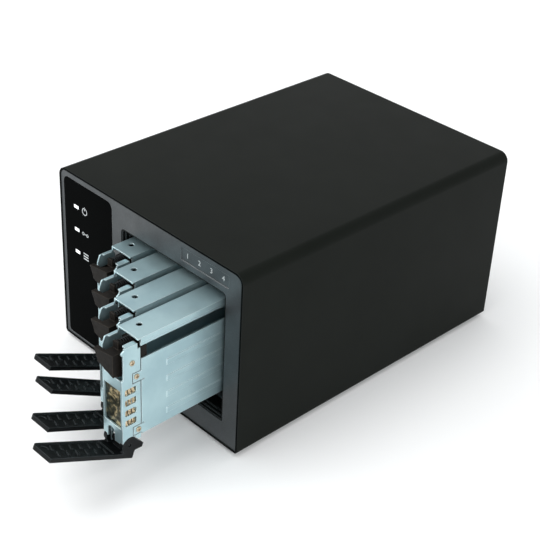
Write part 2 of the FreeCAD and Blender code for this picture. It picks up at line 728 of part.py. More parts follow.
def rear_panel():
    """Sheet-steel rear with its cut-outs and a rim bent forward."""
    x0, x1 = INNER_L + FIT, INNER_R - FIT
    z0, z1 = SLEEVE_T + FIT, INNER_TOP - FIT
    top_r, low_r = CASE_R - SLEEVE_T - FIT, CASE_LOW_R - SLEEVE_T - FIT
    block = arched(x0, x1, REAR_Y - REAR_FLANGE, REAR_Y + SHEET, z0, z1, top_r, low_r)
    hollow = arched(x0 + SHEET, x1 - SHEET, REAR_Y - REAR_FLANGE - 1, REAR_Y,
                    z0 + SHEET, z1 - SHEET, top_r - SHEET, low_r - SHEET)
    base_gap = box(INNER_L + CASE_R - 1, INNER_R - CASE_R + 1, REAR_Y - REAR_FLANGE - 1, REAR_Y,
                   SLEEVE_T, SLEEVE_T + 6)
    tools = [hollow, base_gap]
    y = REAR_Y - 1
    deep = SHEET + 2
    tools.append(rod(vec(FAN_X, y, FAN_Z), Y_AXIS, FAN_BORE_R, deep))
    tools += [rod(vec(x, y, z), Y_AXIS, FAN_HOLE_R, deep) for x, z in fan_hole_places()]
    tools += [rod(vec(x, y, z), Y_AXIS, SCREW_R + FIT, deep) for x, z in rear_screw_places()]
    tools += [rod(vec(x, y, z), Y_AXIS, SCREW_R + FIT, deep) for x, z in inlet_screw_places()]
    for x in port_places():
        tools.append(box(x - PORT_W / 2 - FIT, x + PORT_W / 2 + FIT, y, y + deep,
                         PORT_Z - FIT, PORT_Z + PORT_H + FIT))
    tools.append(box(INLET_X - INLET_W / 2 - FIT, INLET_X + INLET_W / 2 + FIT, y, y + deep,
                     INLET_Z - INLET_H / 2 - FIT, SWITCH_Z + SWITCH_H / 2 + SWITCH_FRAME_T + FIT))
    for col in range(REAR_SLOT_COLS):
        for row in range(REAR_SLOT_ROWS):
            x = INLET_X + (col - (REAR_SLOT_COLS - 1) / 2) * REAR_SLOT_PITCH_X
            z = CASE_H - REAR_SLOT_DROP + row * REAR_SLOT_PITCH_Z
            tools.append(box(x, x + REAR_SLOT_W, y, y + deep, z, z + REAR_SLOT_H))
    return cut(block, tools)


def fan_frame():
    """Square fan frame with its motor stator on four struts."""
    y1 = REAR_Y
    y0 = y1 - FAN_D
    half = FAN_SIZE / 2
    block = rounded(FAN_X - half, FAN_X + half, y0, y1, FAN_Z - half, FAN_Z + half, 4.0)
    bore = rod(vec(FAN_X, y0 - 1, FAN_Z), Y_AXIS, FAN_BORE_R, FAN_D + 2)
    holes = [rod(vec(x, y0 - 1, z), Y_AXIS, FAN_HOLE_R, FAN_D + 2) for x, z in fan_hole_places()]
    ring = cut(block, [bore] + holes)
    strut_y0, strut_y1 = y0, y0 + 3.0
    struts = [box(FAN_X - FAN_BORE_R - 0.5, FAN_X + FAN_BORE_R + 0.5, strut_y0, strut_y1,
                  FAN_Z - 1.5, FAN_Z + 1.5),
              box(FAN_X - 1.5, FAN_X + 1.5, strut_y0, strut_y1,
                  FAN_Z - FAN_BORE_R - 0.5, FAN_Z + FAN_BORE_R + 0.5)]
    stator = rod(vec(FAN_X, strut_y0, FAN_Z), Y_AXIS, FAN_HUB_R - 1.0, 4.0)
    axle = rod(vec(FAN_X, strut_y0, FAN_Z), Y_AXIS, FAN_AXLE_R, FAN_D - 4.0)
    return fuse([ring] + struts + [stator, axle])


def fan_rotor():
    """Hub with seven twisted blades, running on the frame's axle."""
    y0 = REAR_Y - FAN_D + 4.0 + MOVE_GAP
    y1 = REAR_Y - 2.5
    hub = rod(vec(FAN_X, y0, FAN_Z), Y_AXIS, FAN_HUB_R, y1 - y0)
    tip = FAN_BORE_R - FAN_TIP_GAP
    blades = []
    length = y1 - y0
    for n in range(FAN_BLADES):
        blade = box(-1.0, 1.0, 0, length / math.cos(math.radians(38)), FAN_HUB_R - 2.0, tip + 4)
        blade.translate(vec(0, -length / 2 / math.cos(math.radians(38)), 0))
        blade.rotate(vec(0, 0, 0), Z_AXIS, 38)
        blade.translate(vec(0, length / 2, 0))
        blade.rotate(vec(0, 0, 0), Y_AXIS, 360.0 * n / FAN_BLADES)
        blade.translate(vec(FAN_X, y0, FAN_Z))
        blades.append(blade)
    envelope = rod(vec(FAN_X, y0 + 0.4, FAN_Z), Y_AXIS, tip, y1 - y0 - 0.8)
    wheel = fuse([hub] + [blade.common(envelope) for blade in blades])
    bore = rod(vec(FAN_X, y0 - 1, FAN_Z), Y_AXIS, FAN_AXLE_R + PIN_FIT, FAN_D - 7.0)
    return cut(wheel, [bore])


def fan_guard():
    """Wire guard on the outside of the rear panel."""
    y = REAR_Y + SHEET + GUARD_WIRE_R
    wires = []
    step = (FAN_BORE_R - 6.0) / GUARD_RINGS
    for n in range(1, GUARD_RINGS + 1):
        wires.append(Part.makeTorus(6.0 + n * step, GUARD_WIRE_R, vec(FAN_X, y, FAN_Z), Y_AXIS))
    spoke_r = GUARD_WIRE_R * 0.8
    for x, z in fan_hole_places():
        direction = vec(x - FAN_X, 0, z - FAN_Z)
        start = vec(FAN_X, y, FAN_Z) + direction * (6.0 / direction.Length)
        wires.append(rod(start, direction, spoke_r, direction.Length - 6.0 - FAN_HOLE_R))
        eye = rod(vec(x, REAR_Y + SHEET, z), Y_AXIS, 4.0, 2 * GUARD_WIRE_R)
        wires.append(cut(eye, [rod(vec(x, REAR_Y, z), Y_AXIS, FAN_HOLE_R, 5.0)]))
    guard = wires[0]
    for wire in wires[1:]:
        guard = guard.fuse(wire)
    return guard


def host_ports():
    """Two metal port cages on the main board, open to the rear."""
    ports = []
    y1 = REAR_Y + SHEET + 1.2
    y0 = y1 - PORT_D
    for x in port_places():
        shell = box(x - PORT_W / 2, x + PORT_W / 2, y0, y1, PORT_Z, PORT_Z + PORT_H)
        mouth = box(x - PORT_W / 2 + PORT_WALL, x + PORT_W / 2 - PORT_WALL, y0 + 2, y1 + 1,
                    PORT_Z + PORT_WALL, PORT_Z + PORT_H - PORT_WALL)
        tongue = box(x - PORT_W / 2 + 3, x + PORT_W / 2 - 3, y0 + 2, y0 + 12,
                     PORT_Z + PORT_H / 2 - 0.8, PORT_Z + PORT_H / 2 + 0.8)
        ports.append(cut(shell, [mouth]).fuse(tongue))
    return group(ports)


def switch_block(grow, y0, y1):
    """Block of the rocker's outline, grown by a margin."""
    return box(INLET_X - SWITCH_W / 2 - grow, INLET_X + SWITCH_W / 2 + grow, y0, y1,
               SWITCH_Z - SWITCH_H / 2 - grow, SWITCH_Z + SWITCH_H / 2 + grow)


def power_inlet():
    """Mains inlet module: recess with three blades, and the rocker's well above it."""
    y1 = REAR_Y + SHEET
    front = y1 + INLET_FLANGE_T
    body = box(INLET_X - INLET_W / 2, INLET_X + INLET_W / 2, y1 - INLET_D, y1,
               INLET_Z - INLET_H / 2, SWITCH_Z + SWITCH_H / 2 + SWITCH_FRAME_T)
    flange = rounded(INLET_X - INLET_FLANGE_W / 2, INLET_X + INLET_FLANGE_W / 2, y1, front,
                     INLET_Z - INLET_H / 2 - SWITCH_FRAME_T,
                     SWITCH_Z + SWITCH_H / 2 + 2 * SWITCH_FRAME_T, 3.0)
    recess = rounded(INLET_X - INLET_W / 2 + 1.5, INLET_X + INLET_W / 2 - 1.5,
                     y1 - INLET_D + 2.5, front + 2, INLET_Z - INLET_H / 2 + 1.5,
                     INLET_Z + INLET_H / 2 - 1.5, 3.0)
    well = switch_block(MOVE_GAP, y1 - INLET_D + 2, front + 2)
    holes = [rod(vec(x, y1 - 1, z), Y_AXIS, SCREW_R + FIT, 5) for x, z in inlet_screw_places()]
    shell = cut(fuse([body, flange]), [recess, well] + holes)
    wide, tall = INLET_BLADE
    blades = []
    for dx, dz in ((-7.0, -2.0), (0.0, 2.0), (7.0, -2.0)):
        x, z = INLET_X + dx, INLET_Z + dz
        blades.append(box(x - wide / 2, x + wide / 2, y1 - INLET_D + 2, y1 - 1,
                          z - tall / 2, z + tall / 2))
    return fuse([shell] + blades)


def rocker_pivot_y():
    """Depth of the rocker's pivot axis."""
    return REAR_Y + SHEET + INLET_FLANGE_T - SWITCH_PIVOT_DEPTH


def rocker_switch():
    """Rocker with a shallow V face, tilted to its off side."""
    y = rocker_pivot_y()
    half = SWITCH_H / 2
    outline = [(y - 3.0, SWITCH_Z - half + 3), (y - 3.0, SWITCH_Z + half - 3),
               (y + 1.0, SWITCH_Z + half), (y + 5.6, SWITCH_Z + half - 0.6),
               (y + 4.4, SWITCH_Z), (y + 5.6, SWITCH_Z - half + 0.6), (y + 1.0, SWITCH_Z - half)]
    rocker = prism_x(outline, INLET_X - SWITCH_W / 2, INLET_X + SWITCH_W / 2)
    rocker.rotate(vec(INLET_X, y, SWITCH_Z), X_AXIS, SWITCH_TILT_DEG)
    return rocker


def chassis_screws():
    """Pan-head screws of the rear panel, the fan and the power inlet."""
    screws = []

    def screw(x, z, face, length, radius):
        head = rod(vec(x, face, z), Y_AXIS, SCREW_HEAD_R, SCREW_HEAD_H)
        head = head.makeFillet(0.7, [edge for edge in head.Edges
                                     if edge.BoundBox.YMin > face + 1.0 and edge.Closed][:1])
        shank = rod(vec(x, face - length, z), Y_AXIS, radius, length)
        reach, half, top = SCREW_HEAD_R * 0.55, CROSS_W / 2, face + SCREW_HEAD_H
        slot = [box(x - reach, x + reach, top - CROSS_DEEP, top + 1, z - half, z + half),
                box(x - half, x + half, top - CROSS_DEEP, top + 1, z - reach, z + reach)]
        screws.append(cut(head.fuse(shank), slot))

    for x, z in rear_screw_places():
        screw(x, z, REAR_Y + SHEET, 6.0, SCREW_R)
    for x, z in inlet_screw_places():
        screw(x, z, REAR_Y + SHEET + INLET_FLANGE_T, 7.0, SCREW_R)
    for x, z in fan_hole_places():
        screw(x, z, REAR_Y + SHEET + 2 * GUARD_WIRE_R, 9.0, FAN_HOLE_R - 0.1)
    return group(screws)


# ---------------------------------------------------------------- trays
def tab_notch(z0, height, grow):
    """Block of one tab of the side plate, grown by a margin."""
    return box(TRAY_W - SHEET, TRAY_W, CARRIER_SIDE_Y - TAB_LEN - grow, CARRIER_SIDE_Y,
               z0 - grow, z0 + height + grow)


def carrier():
    """Steel carrier: top flange, side plate with ribs, bottom flange and lips."""
    w, h, t = TRAY_W, TRAY_H, SHEET
    y0, y1, side = CARRIER_Y, TRAY_LEN, CARRIER_SIDE_Y
    step_z = h - SIDE_STEP_H
    inner = w - t - SIDE_STEP_IN
    pieces = [box(0, w, y0, y1, h - t, h),
              box(w - t, w, side, y1, step_z, h),
              box(inner, w, side, y1, step_z - t / 2, step_z),
              box(inner, inner + t, side, y1, h - SIDE_FLANGE_H, step_z),
              box(0, t, y0, y1, h - LEFT_LIP_H, h),
              box(0, w, side, y1, 0, t),
              box(0, t, side, y1, 0, LEFT_LIP_H),
              box(w - t, w, side, y1, 0, PLATE_TOP),
              box(inner, w, y1 - REAR_POST, y1, PLATE_TOP - 1, step_z)]
    for z0, height in ((UPPER_TAB_Z, UPPER_TAB_H), (LOWER_TAB_Z, LOWER_TAB_H)):
        pieces.append(tab_notch(z0, height, 0.0))
    for n in range(RIB_COUNT):
        z = RIB_FIRST_Z + n * RIB_PITCH
        rib = box(w - t / 2, w + RIB_OUT, RIB_START, y1 - RIB_END_GAP, z - RIB_H / 2, z + RIB_H / 2)
        outer = [edge for edge in rib.Edges if edge.BoundBox.XMin > w + RIB_OUT - 0.01]
        pieces.append(rib.makeChamfer(RIB_OUT * 0.95, outer))
    body = fuse(pieces)
    tools = [rod(vec(FLANGE_HOLE_X, FLANGE_HOLE_Y, h - 2 * t), Z_AXIS, FLANGE_HOLE_R, 3 * t)]
    for z, height in ((UPPER_TAB_Z - TAB_GAP, TAB_GAP), (LOWER_TAB_Z + LOWER_TAB_H, TAB_GAP)):
        tools.append(box(w - t - 1, w + 1, side - 1, side + TAB_RELIEF, z, z + height))
    for y in DRIVE_SCREW_Y:
        tools.append(rod(vec(w / 2, y, -1), Z_AXIS, DRIVE_SCREW_R, 3))
    for y, z in screw_places()[1:]:
        tools.append(rod(vec(w - 2 * t, y, z), X_AXIS, TRAY_SCREW_R, 3 * t))
    return cut(body, tools)


def screw_places():
    """Y and Z of the three screws in a tray's right side."""
    return [(8.0, PLATE_TOP), (11.3, UPPER_TAB_Z + UPPER_TAB_H / 2 + 0.6),
            (12.4, LOWER_TAB_Z + LOWER_TAB_H / 2)]


def tray_bracket():
    """Folded steel front of a tray, with its window, grille, lips and pin ears."""
    w, t, d = TRAY_W, SHEET, BRACKET_D
    rear = [(d - 2.2, LEFT_TOP), (d, LEFT_TOP - 3.0), (d, WEB_BOTTOM)]
    left = prism_x([(0, WEB_BOTTOM), (0, LEFT_STEP_Z), (LEFT_SET_BACK, LEFT_TOP - 0.6),
                    (LEFT_SET_BACK + 0.8, LEFT_TOP)] + rear, 0, t)
    step = RIGHT_SHOULDER_Z
    right = prism_x([(0, WEB_BOTTOM), (0, WEB_TOP), (RIGHT_SET_BACK, WEB_TOP + 1.0),
                     (RIGHT_SET_BACK, step), (0, step + 0.4), (0, step + 1.8),
                     (RIGHT_LIP_Y - 1.5, RIGHT_TOP - 1.2), (RIGHT_LIP_Y - 1.5, RIGHT_TOP),
                     (d - 2.2, RIGHT_TOP), (d, RIGHT_TOP - 3.0), (d, WEB_BOTTOM)], w - t, w)
    right = cut(right, [box(w - t - 1, w + 1, CARRIER_Y - 0.3, d + 1,
                            TRAY_H - SIDE_FLANGE_H - 0.4, RIGHT_TOP + 1)])
    web = box(0, w, 0, t, WEB_BOTTOM, WEB_TOP)
    lip = rounded(w - RIGHT_LIP_W, w, RIGHT_LIP_Y, RIGHT_LIP_Y + RIGHT_LIP_LEN,
                  RIGHT_TOP - t, RIGHT_TOP, 0.8, Z_AXIS)
    left_lip = rounded(0, LEFT_LIP_W, LEFT_SET_BACK + 2.3, LEFT_SET_BACK + 2.3 + LEFT_LIP_LEN,
                       LEFT_TOP - t, LEFT_TOP, 0.8, Z_AXIS)
    tongue_y = t + TONGUE_BACK
    tongue = box(t / 2, TONGUE_X + TONGUE_W, tongue_y, tongue_y + TONGUE_T,
                 WEB_TOP - TONGUE_FOOT, WEB_TOP + TONGUE_H)
    cross = box(t, w - t, d - t, d, 3.0, 12.0)
    low_cross = box(EAR_IN, w - EAR_IN, d - t, d, -3.0, 3.0)
    pieces = [left, right, web, lip, left_lip, tongue, cross, low_cross]
    for x in (EAR_IN, w - EAR_IN - t):
        pieces.append(prism_x([(PIN_Y - 3.0, PIN_Z - 3.0), (PIN_Y - 3.0, 1.5), (2.2, 3.5), (2.2, 8.0),
                               (d - t, 8.0), (d - t, -3.0), (PIN_Y + 4.0, PIN_Z - 3.0)], x, x + t))
    for z0, height in ((UPPER_TAB_Z, UPPER_TAB_H), (LOWER_TAB_Z, LOWER_TAB_H)):
        pieces.append(box(w - 2 * t, w - t, CARRIER_SIDE_Y - TAB_LEN - BACKING_MARGIN, d,
                          z0 - BACKING_MARGIN, z0 + height + BACKING_MARGIN))
    body = fuse(pieces)
    tools = [box(WINDOW_LEFT, w - WINDOW_RIGHT, -1, t + 0.01, WINDOW_Z, WINDOW_Z + WINDOW_H)]
    for n in range(GRILLE_COUNT):
        z = GRILLE_Z + n * GRILLE_PITCH
        tools.append(rounded(w - t - 0.5, w + 1, GRILLE_Y, GRILLE_Y + GRILLE_LEN, z, z + GRILLE_H,
                             1.0, X_AXIS))
    for z0, height in ((UPPER_TAB_Z, UPPER_TAB_H), (LOWER_TAB_Z, LOWER_TAB_H)):
        tools.append(tab_notch(z0, height, TAB_GAP))
    slot_r = SLOT_W / 2
    tools.append(box(SLOT_X, SLOT_X + SLOT_W, -1, t + 0.01, WEB_BOTTOM - 1, SLOT_TOP - slot_r))
    tools.append(rod(vec(SLOT_X + slot_r, -1, SLOT_TOP - slot_r), Y_AXIS, slot_r, t + 1.01))
    for x in (-1, w - CHEEK_T - 0.4):
        tools.append(rod(vec(x, PIN_Y, PIN_Z), X_AXIS, HUB_R + HUB_GAP, CHEEK_T + 1.4))
    for y, z in screw_places():
        tools.append(rod(vec(w - 3 * t, y, z), X_AXIS, TRAY_SCREW_R, 4 * t))
    tools.append(rod(vec(0, PIN_Y, PIN_Z), X_AXIS, PIN_R, w))
    tools.append(rod(vec(0, STOP_Y, STOP_Z), X_AXIS, STOP_R, w))
    return cut(body, tools)


def lever_pin():
    """Steel pin through the bracket's ears and the lever, and the bright stop pin over it."""
    pin = rod(vec(PIN_RECESS, PIN_Y, PIN_Z), X_AXIS, PIN_R, TRAY_W - 2 * PIN_RECESS)
    stop = rod(vec(EAR_IN, STOP_Y, STOP_Z), X_AXIS, STOP_R, TRAY_W - 2 * EAR_IN)
    return group([pin, stop])


def shield():
    """Bronze contact sheet behind the window, with fingers behind the grille."""
    w, t = TRAY_W, SHEET
    y0 = t + 0.1
    z0 = LOWER_TAB_Z + LOWER_TAB_H + BACKING_MARGIN + FIT
    z1 = UPPER_TAB_Z - BACKING_MARGIN - FIT
    x0, x1 = t + 0.2, w - t - 0.2
    front = box(x0, x1, y0, y0 + SHIELD_T, z0, z1)
    side = box(x1 - SHIELD_T, x1, y0, GRILLE_Y + GRILLE_LEN + 0.6, z0, z1)
    holes = []
    cols = int((x1 - x0 - 1.5) // SHIELD_PITCH_X)
    rows = int((z1 - z0 - 1.5) // SHIELD_PITCH_Z)
    first_x = (x0 + x1) / 2 - (cols - 1) * SHIELD_PITCH_X / 2
    first_z = (z0 + z1) / 2 - (rows - 1) * SHIELD_PITCH_Z / 2
    for col in range(cols):
        for row in range(rows):
            x = first_x + col * SHIELD_PITCH_X
            z = first_z + row * SHIELD_PITCH_Z
            half = SHIELD_HOLE / 2
            holes.append(box(x - half, x + half, y0 - 1, y0 + 1, z - half, z + half))
    fingers = int((GRILLE_LEN - 0.4) // (FINGER_W + FINGER_GAP))
    for n in range(fingers + 1):
        y = GRILLE_Y + n * (FINGER_W + FINGER_GAP)
        holes.append(box(x1 - 1, x1 + 1, y, y + FINGER_GAP, z0 + 1.5, z1 - 1.5))
    contacts = []
    for n in range(GRILLE_COUNT):
        z = GRILLE_Z + n * GRILLE_PITCH + GRILLE_H / 2
        for k in range(fingers):
            y = GRILLE_Y + FINGER_GAP + k * (FINGER_W + FINGER_GAP)
            bump = Part.makeCylinder(2.4, FINGER_W, vec(x1 - 1.9, y, z), Y_AXIS)
            slab = box(x1 - SHIELD_T, x1 + 0.5, y, y + FINGER_W, z - 1.6, z + 1.6)
            contacts.append(bump.common(slab))
    return fuse([cut(front.fuse(side), holes)] + contacts)


def latch_housing():
    """Black moulding that guides the release button, with a post for its spring."""
    x0, x1 = SHEET, TRAY_W - SHEET
    z0, z1 = LATCH_Z, LATCH_Z + LATCH_H
    wall = button_x0() + BUTTON_W + MOVE_GAP
    right = box(wall, x1, LATCH_RIGHT_SET_BACK, LATCH_D, z0, z1)
    rear = box(x0, wall, BUTTON_D + BUTTON_TRAVEL + MOVE_GAP, LATCH_D, z0, z1)
    floor = box(x0, wall, LATCH_RIGHT_SET_BACK, LATCH_D, z0, z0 + LATCH_FLOOR_T)
    y0, y1 = SPRING_Y + SPRING_LEN, SPRING_Y + SPRING_LEN + POST_T
    post = rounded(x0 + 4.0, x1 - 3.0, y0, y1, z1 - 1, TRAY_H - SHEET - 0.6, 1.2)
    body = fuse([right, rear, floor, post])
    relief = box(x1 - SHEET - FIT, x1 + 1, CARRIER_SIDE_Y - TAB_LEN - BACKING_MARGIN - FIT,
                 BRACKET_D + FIT, z0 - 1, UPPER_TAB_Z + UPPER_TAB_H + BACKING_MARGIN + FIT)
    y, z = screw_places()[0]
    return cut(body, [relief, rod(vec(x1 - 3, y, z), X_AXIS, TRAY_SCREW_R, 4)])


def button_x0():
    """Left side of the release button, inside the bracket."""
    return SHEET + 0.3


def latch_button():
    """Release button: guided block, thumb face with a flared corner, and spring post."""
    x0, x1 = button_x0(), button_x0() + BUTTON_W
    z0, z1 = LATCH_Z, LATCH_Z + LATCH_H
    block = box(x0, x1, -BUTTON_FRONT + 0.2, BUTTON_D, z0 + LATCH_FLOOR_T + 0.3, z1)
    face = prism_y([(0.1, z0 + BUTTON_LOW_LEFT), (x1, z0 + BUTTON_LOW_RIGHT), (x1, z1), (0.1, z1)],
                   -BUTTON_FRONT, -BUTTON_FRONT + BUTTON_SLAB)
    below = prism_y([(-1, z0 - 1), (x1 + 1, z0 - 1), (x1 + 1, z0 + BUTTON_LOW_RIGHT),
                     (x1, z0 + BUTTON_LOW_RIGHT), (0.1, z0 + BUTTON_LOW_LEFT),
                     (-1, z0 + BUTTON_LOW_LEFT)], -BUTTON_FRONT - 1, -0.2)
    flare = wedge(vec(0.1, -BUTTON_FRONT, z1), vec(0.1, -BUTTON_FRONT - BUTTON_FLARE, z1),
                  vec(x1, -BUTTON_FRONT, z1), vec(0.1, -BUTTON_FRONT, z1 - BUTTON_FLARE_H))
    post_y = SPRING_Y - POST_T
    post = rounded(spring_x() - SPRING_R, spring_x() + SPRING_R, post_y, SPRING_Y, z1 - 2.0,
                   spring_z() + SPRING_R, 1.0)
    over_tongue = box(x0 - 1, TONGUE_X + TONGUE_W + MOVE_GAP, -BUTTON_FRONT - 1, BUTTON_D + 1, z0,
                      WEB_TOP + TONGUE_H + MOVE_GAP)
    recess = box(x0 - 1, x0 + BUTTON_RECESS_W, -BUTTON_FRONT + BUTTON_SLAB, BUTTON_D + 1,
                 z1 - BUTTON_RECESS_H, z1 + 1)
    return fuse([cut(block, [below, over_tongue, recess]), face, flare, post])


def wedge(corner, *ends):
    """Solid between a corner and three points around it."""
    shell = []
    for a, b, c in ((0, 1, 2), (0, 1, 3), (0, 2, 3), (1, 2, 3)):
        points = [corner, *ends]
        wire = Part.makePolygon([points[a], points[b], points[c], points[a]])
        shell.append(Part.Face(wire))
    solid = Part.Solid(Part.Shell(shell))
    if solid.Volume < 0:
        solid.reverse()
    return solid


def spring_x():
    """Middle of the latch spring, across the tray."""
    return button_x0() + SPRING_X


def spring_z():
    """Height of the latch spring's middle."""
    return LATCH_Z + LATCH_H + SPRING_R + SPRING_WIRE_R + 0.15


def latch_spring():
    """Compression spring between the button's post and the housing's post."""
    inset = SPRING_WIRE_R + 0.02
    length = SPRING_LEN - 2 * inset
    helix = Part.makeHelix(length / SPRING_TURNS, length, SPRING_R - SPRING_WIRE_R)
    start = vec(SPRING_R - SPRING_WIRE_R, 0, 0)
    circle = Part.Wire(Part.makeCircle(SPRING_WIRE_R, start, Y_AXIS))
    coil = helix.makePipeShell([circle], True, True)
    coil.rotate(vec(0, 0, 0), X_AXIS, -90)
    coil.translate(vec(spring_x(), SPRING_Y + inset, spring_z()))
    return coil


def lever(open_deg):
    """Release lever, built upright and then swung out by an angle."""
    w = TRAY_W
    inner = PIN_Y - LEVER_IN
    outer = inner - LEVER_T
    tip = PIN_Z + LEVER_LEN
    plate = box(0, w, outer, inner, PIN_Z - 6.0, tip)
    corner = [edge for edge in along(plate, Y_AXIS)
              if edge.BoundBox.XMax < 0.01 and edge.BoundBox.ZMin > tip - 0.01]
    plate = plate.makeFillet(LEVER_TIP_R, corner)
    pieces = [plate]
    for x in (0.0, w - CHEEK_T):
        pieces.append(rod(vec(x, PIN_Y, PIN_Z), X_AXIS, HUB_R, CHEEK_T))
        pieces.append(prism_x([(outer, PIN_Z - 6.0), (outer, PIN_Z + 3.4), (PIN_Y - 5.6, PIN_Z + 3.2),
                               (PIN_Y, PIN_Z), (PIN_Y, PIN_Z - HUB_R), (outer + 1.5, PIN_Z - HUB_R)],
                              x, x + CHEEK_T))
        angle0, angle1 = math.radians(HOOK_FROM_DEG), math.radians(HOOK_TO_DEG)
        near = HUB_R * 0.98
        hook = [(PIN_Y + near * math.cos(angle0 - 0.5), PIN_Z + near * math.sin(angle0 - 0.5)),
                (PIN_Y + HOOK_R * math.cos(angle0 + 0.16), PIN_Z + HOOK_R * math.sin(angle0 + 0.16)),
                (PIN_Y + HOOK_R * math.cos(angle1), PIN_Z + HOOK_R * math.sin(angle1)),
                (PIN_Y + near * math.cos(angle1 + 0.9), PIN_Z + near * math.sin(angle1 + 0.9)),
                (PIN_Y, PIN_Z)]
        pieces.append(prism_x(hook, x, x + CHEEK_T))
    bar0, bar1 = EAR_IN + SHEET + 0.4, w - EAR_IN - SHEET - 0.4
    pieces.append(rod(vec(bar0, PIN_Y, PIN_Z), X_AXIS, BARREL_R, bar1 - bar0))
    pieces.append(prism_x([(outer + 1, PIN_Z - 6.0), (outer + 1, PIN_Z), (PIN_Y, PIN_Z),
                           (PIN_Y, PIN_Z - BARREL_R + 0.1)], bar0, bar1))
    body = fuse(pieces)
    tools = [rod(vec(-1, PIN_Y, PIN_Z), X_AXIS, PIN_R + PIN_FIT, w + 2)]
    z0, z1 = PIN_Z + 9.0, tip - POCKET_SIDE
    tools.append(rounded(POCKET_SIDE, w - POCKET_SIDE, inner - POCKET, inner + 1, z0, z1, 2.0))
    tools.append(rod(vec(DIMPLE_X, inner - 1.3, tip - DIMPLE_FROM_TIP), Y_AXIS, DIMPLE_R, 3))
    grips = [cut(body, tools)]
    for n in range(GRIP_COUNT):
        for row in GRIP_ROWS:
            grip = box(-GRIP_LEN / 2, GRIP_LEN / 2, inner - POCKET - 0.2, inner - 0.1,
                       -GRIP_W / 2, GRIP_W / 2)
            grip.rotate(vec(0, 0, 0), Y_AXIS, GRIP_TURN_DEG)
            grip.translate(vec(row, 0, PIN_Z + GRIP_FIRST + n * GRIP_PITCH))
            grips.append(grip)
    body = fuse(grips)
    body.rotate(vec(0, PIN_Y, PIN_Z), X_AXIS, open_deg)
    return body


def tray_screws():
    """Three low-headed screws in the right side of a tray."""
    screws = []
    for y, z in screw_places():
        head = rod(vec(TRAY_W, y, z), X_AXIS, TRAY_SCREW_HEAD_R, TRAY_SCREW_HEAD_H)
        rim = [edge for edge in head.Edges
               if edge.Closed and edge.BoundBox.XMin > TRAY_W + TRAY_SCREW_HEAD_H - 0.01]
        head = head.makeFillet(TRAY_SCREW_HEAD_H * 0.8, rim)
        reach, half = TRAY_SCREW_HEAD_R * 0.55, CROSS_W / 2
        x1 = TRAY_W + TRAY_SCREW_HEAD_H
        head = cut(head, [box(x1 - CROSS_DEEP, x1 + 1, y - reach, y + reach, z - half, z + half),
                          box(x1 - CROSS_DEEP, x1 + 1, y - half, y + half, z - reach, z + reach)])
        shank = rod(vec(TRAY_W - TRAY_SCREW_LEN, y, z), X_AXIS, TRAY_SCREW_R, TRAY_SCREW_LEN)
        screws.append(head.fuse(shank))
    return group(screws)


def tray_nodes(index):
    """All the pieces of one tray, where the tray stands."""
    name = f"tray_{index + 1}"
    open_deg = min(max(LEVER_OPEN_DEG[index], LEVER_SHUT_DEG), LEVER_FULL_DEG)
    pieces = {
        f"{name}_carrier": carrier(),
        f"{name}_bracket": tray_bracket(),
        f"{name}_shield": shield(),
        f"{name}_latch_housing": latch_housing(),
        f"{name}_latch_button": latch_button(),
        f"{name}_latch_spring": latch_spring(),
        f"{name}_lever": lever(open_deg),
        f"{name}_lever_pin": lever_pin(),
        f"{name}_screws": tray_screws(),
    }
    place = vec(tray_x(index), TRAY_CLOSED_Y - TRAY_PULL[index], TRAY_Z)
    for shape in pieces.values():
        shape.translate(place)
    return pieces


# ---------------------------------------------------------------- assembly
def fixed_nodes():
    """All the pieces of the case and the rear."""
    makers = (outer_sleeve, rubber_feet, front_bezel, indicator_panel, light_pipes, status_board,
              bay_liner, drive_cage, upper_guide, lower_guide, backplane, drive_sockets,
              chassis_base, switch_board, heat_sink, power_supply, rear_panel, fan_frame,
              fan_rotor, fan_guard, host_ports, power_inlet, rocker_switch, chassis_screws)
    return {maker.__name__: maker() for maker in makers}


def main():
    """Build every piece and write one file for each."""
    os.makedirs("parts", exist_ok=True)
    nodes = fixed_nodes()
    for index in range(TRAY_COUNT):
        nodes.update(tray_nodes(index))
    to_origin = vec(0, -CASE_D / 2, FOOT_H)
    for name, shape in nodes.items():
        shape.translate(to_origin)
        if not shape.isValid():
            print("not valid:", name)
        shape.exportStep(os.path.join("parts", name + ".step"))
        bounds = shape.BoundBox
        print(f"{name:26s} solids {len(shape.Solids)} volume {shape.Volume:10.1f} "
              f"x {bounds.XMin:7.1f} {bounds.XMax:7.1f} y {bounds.YMin:7.1f} {bounds.YMax:7.1f} "
              f"z {bounds.ZMin:7.1f} {bounds.ZMax:7.1f}")


if __name__ == "__main__":
    main()
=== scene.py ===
import json
import logging
import math
from dataclasses import dataclass
from enum import Enum

import bpy
from mathutils import Matrix, Vector

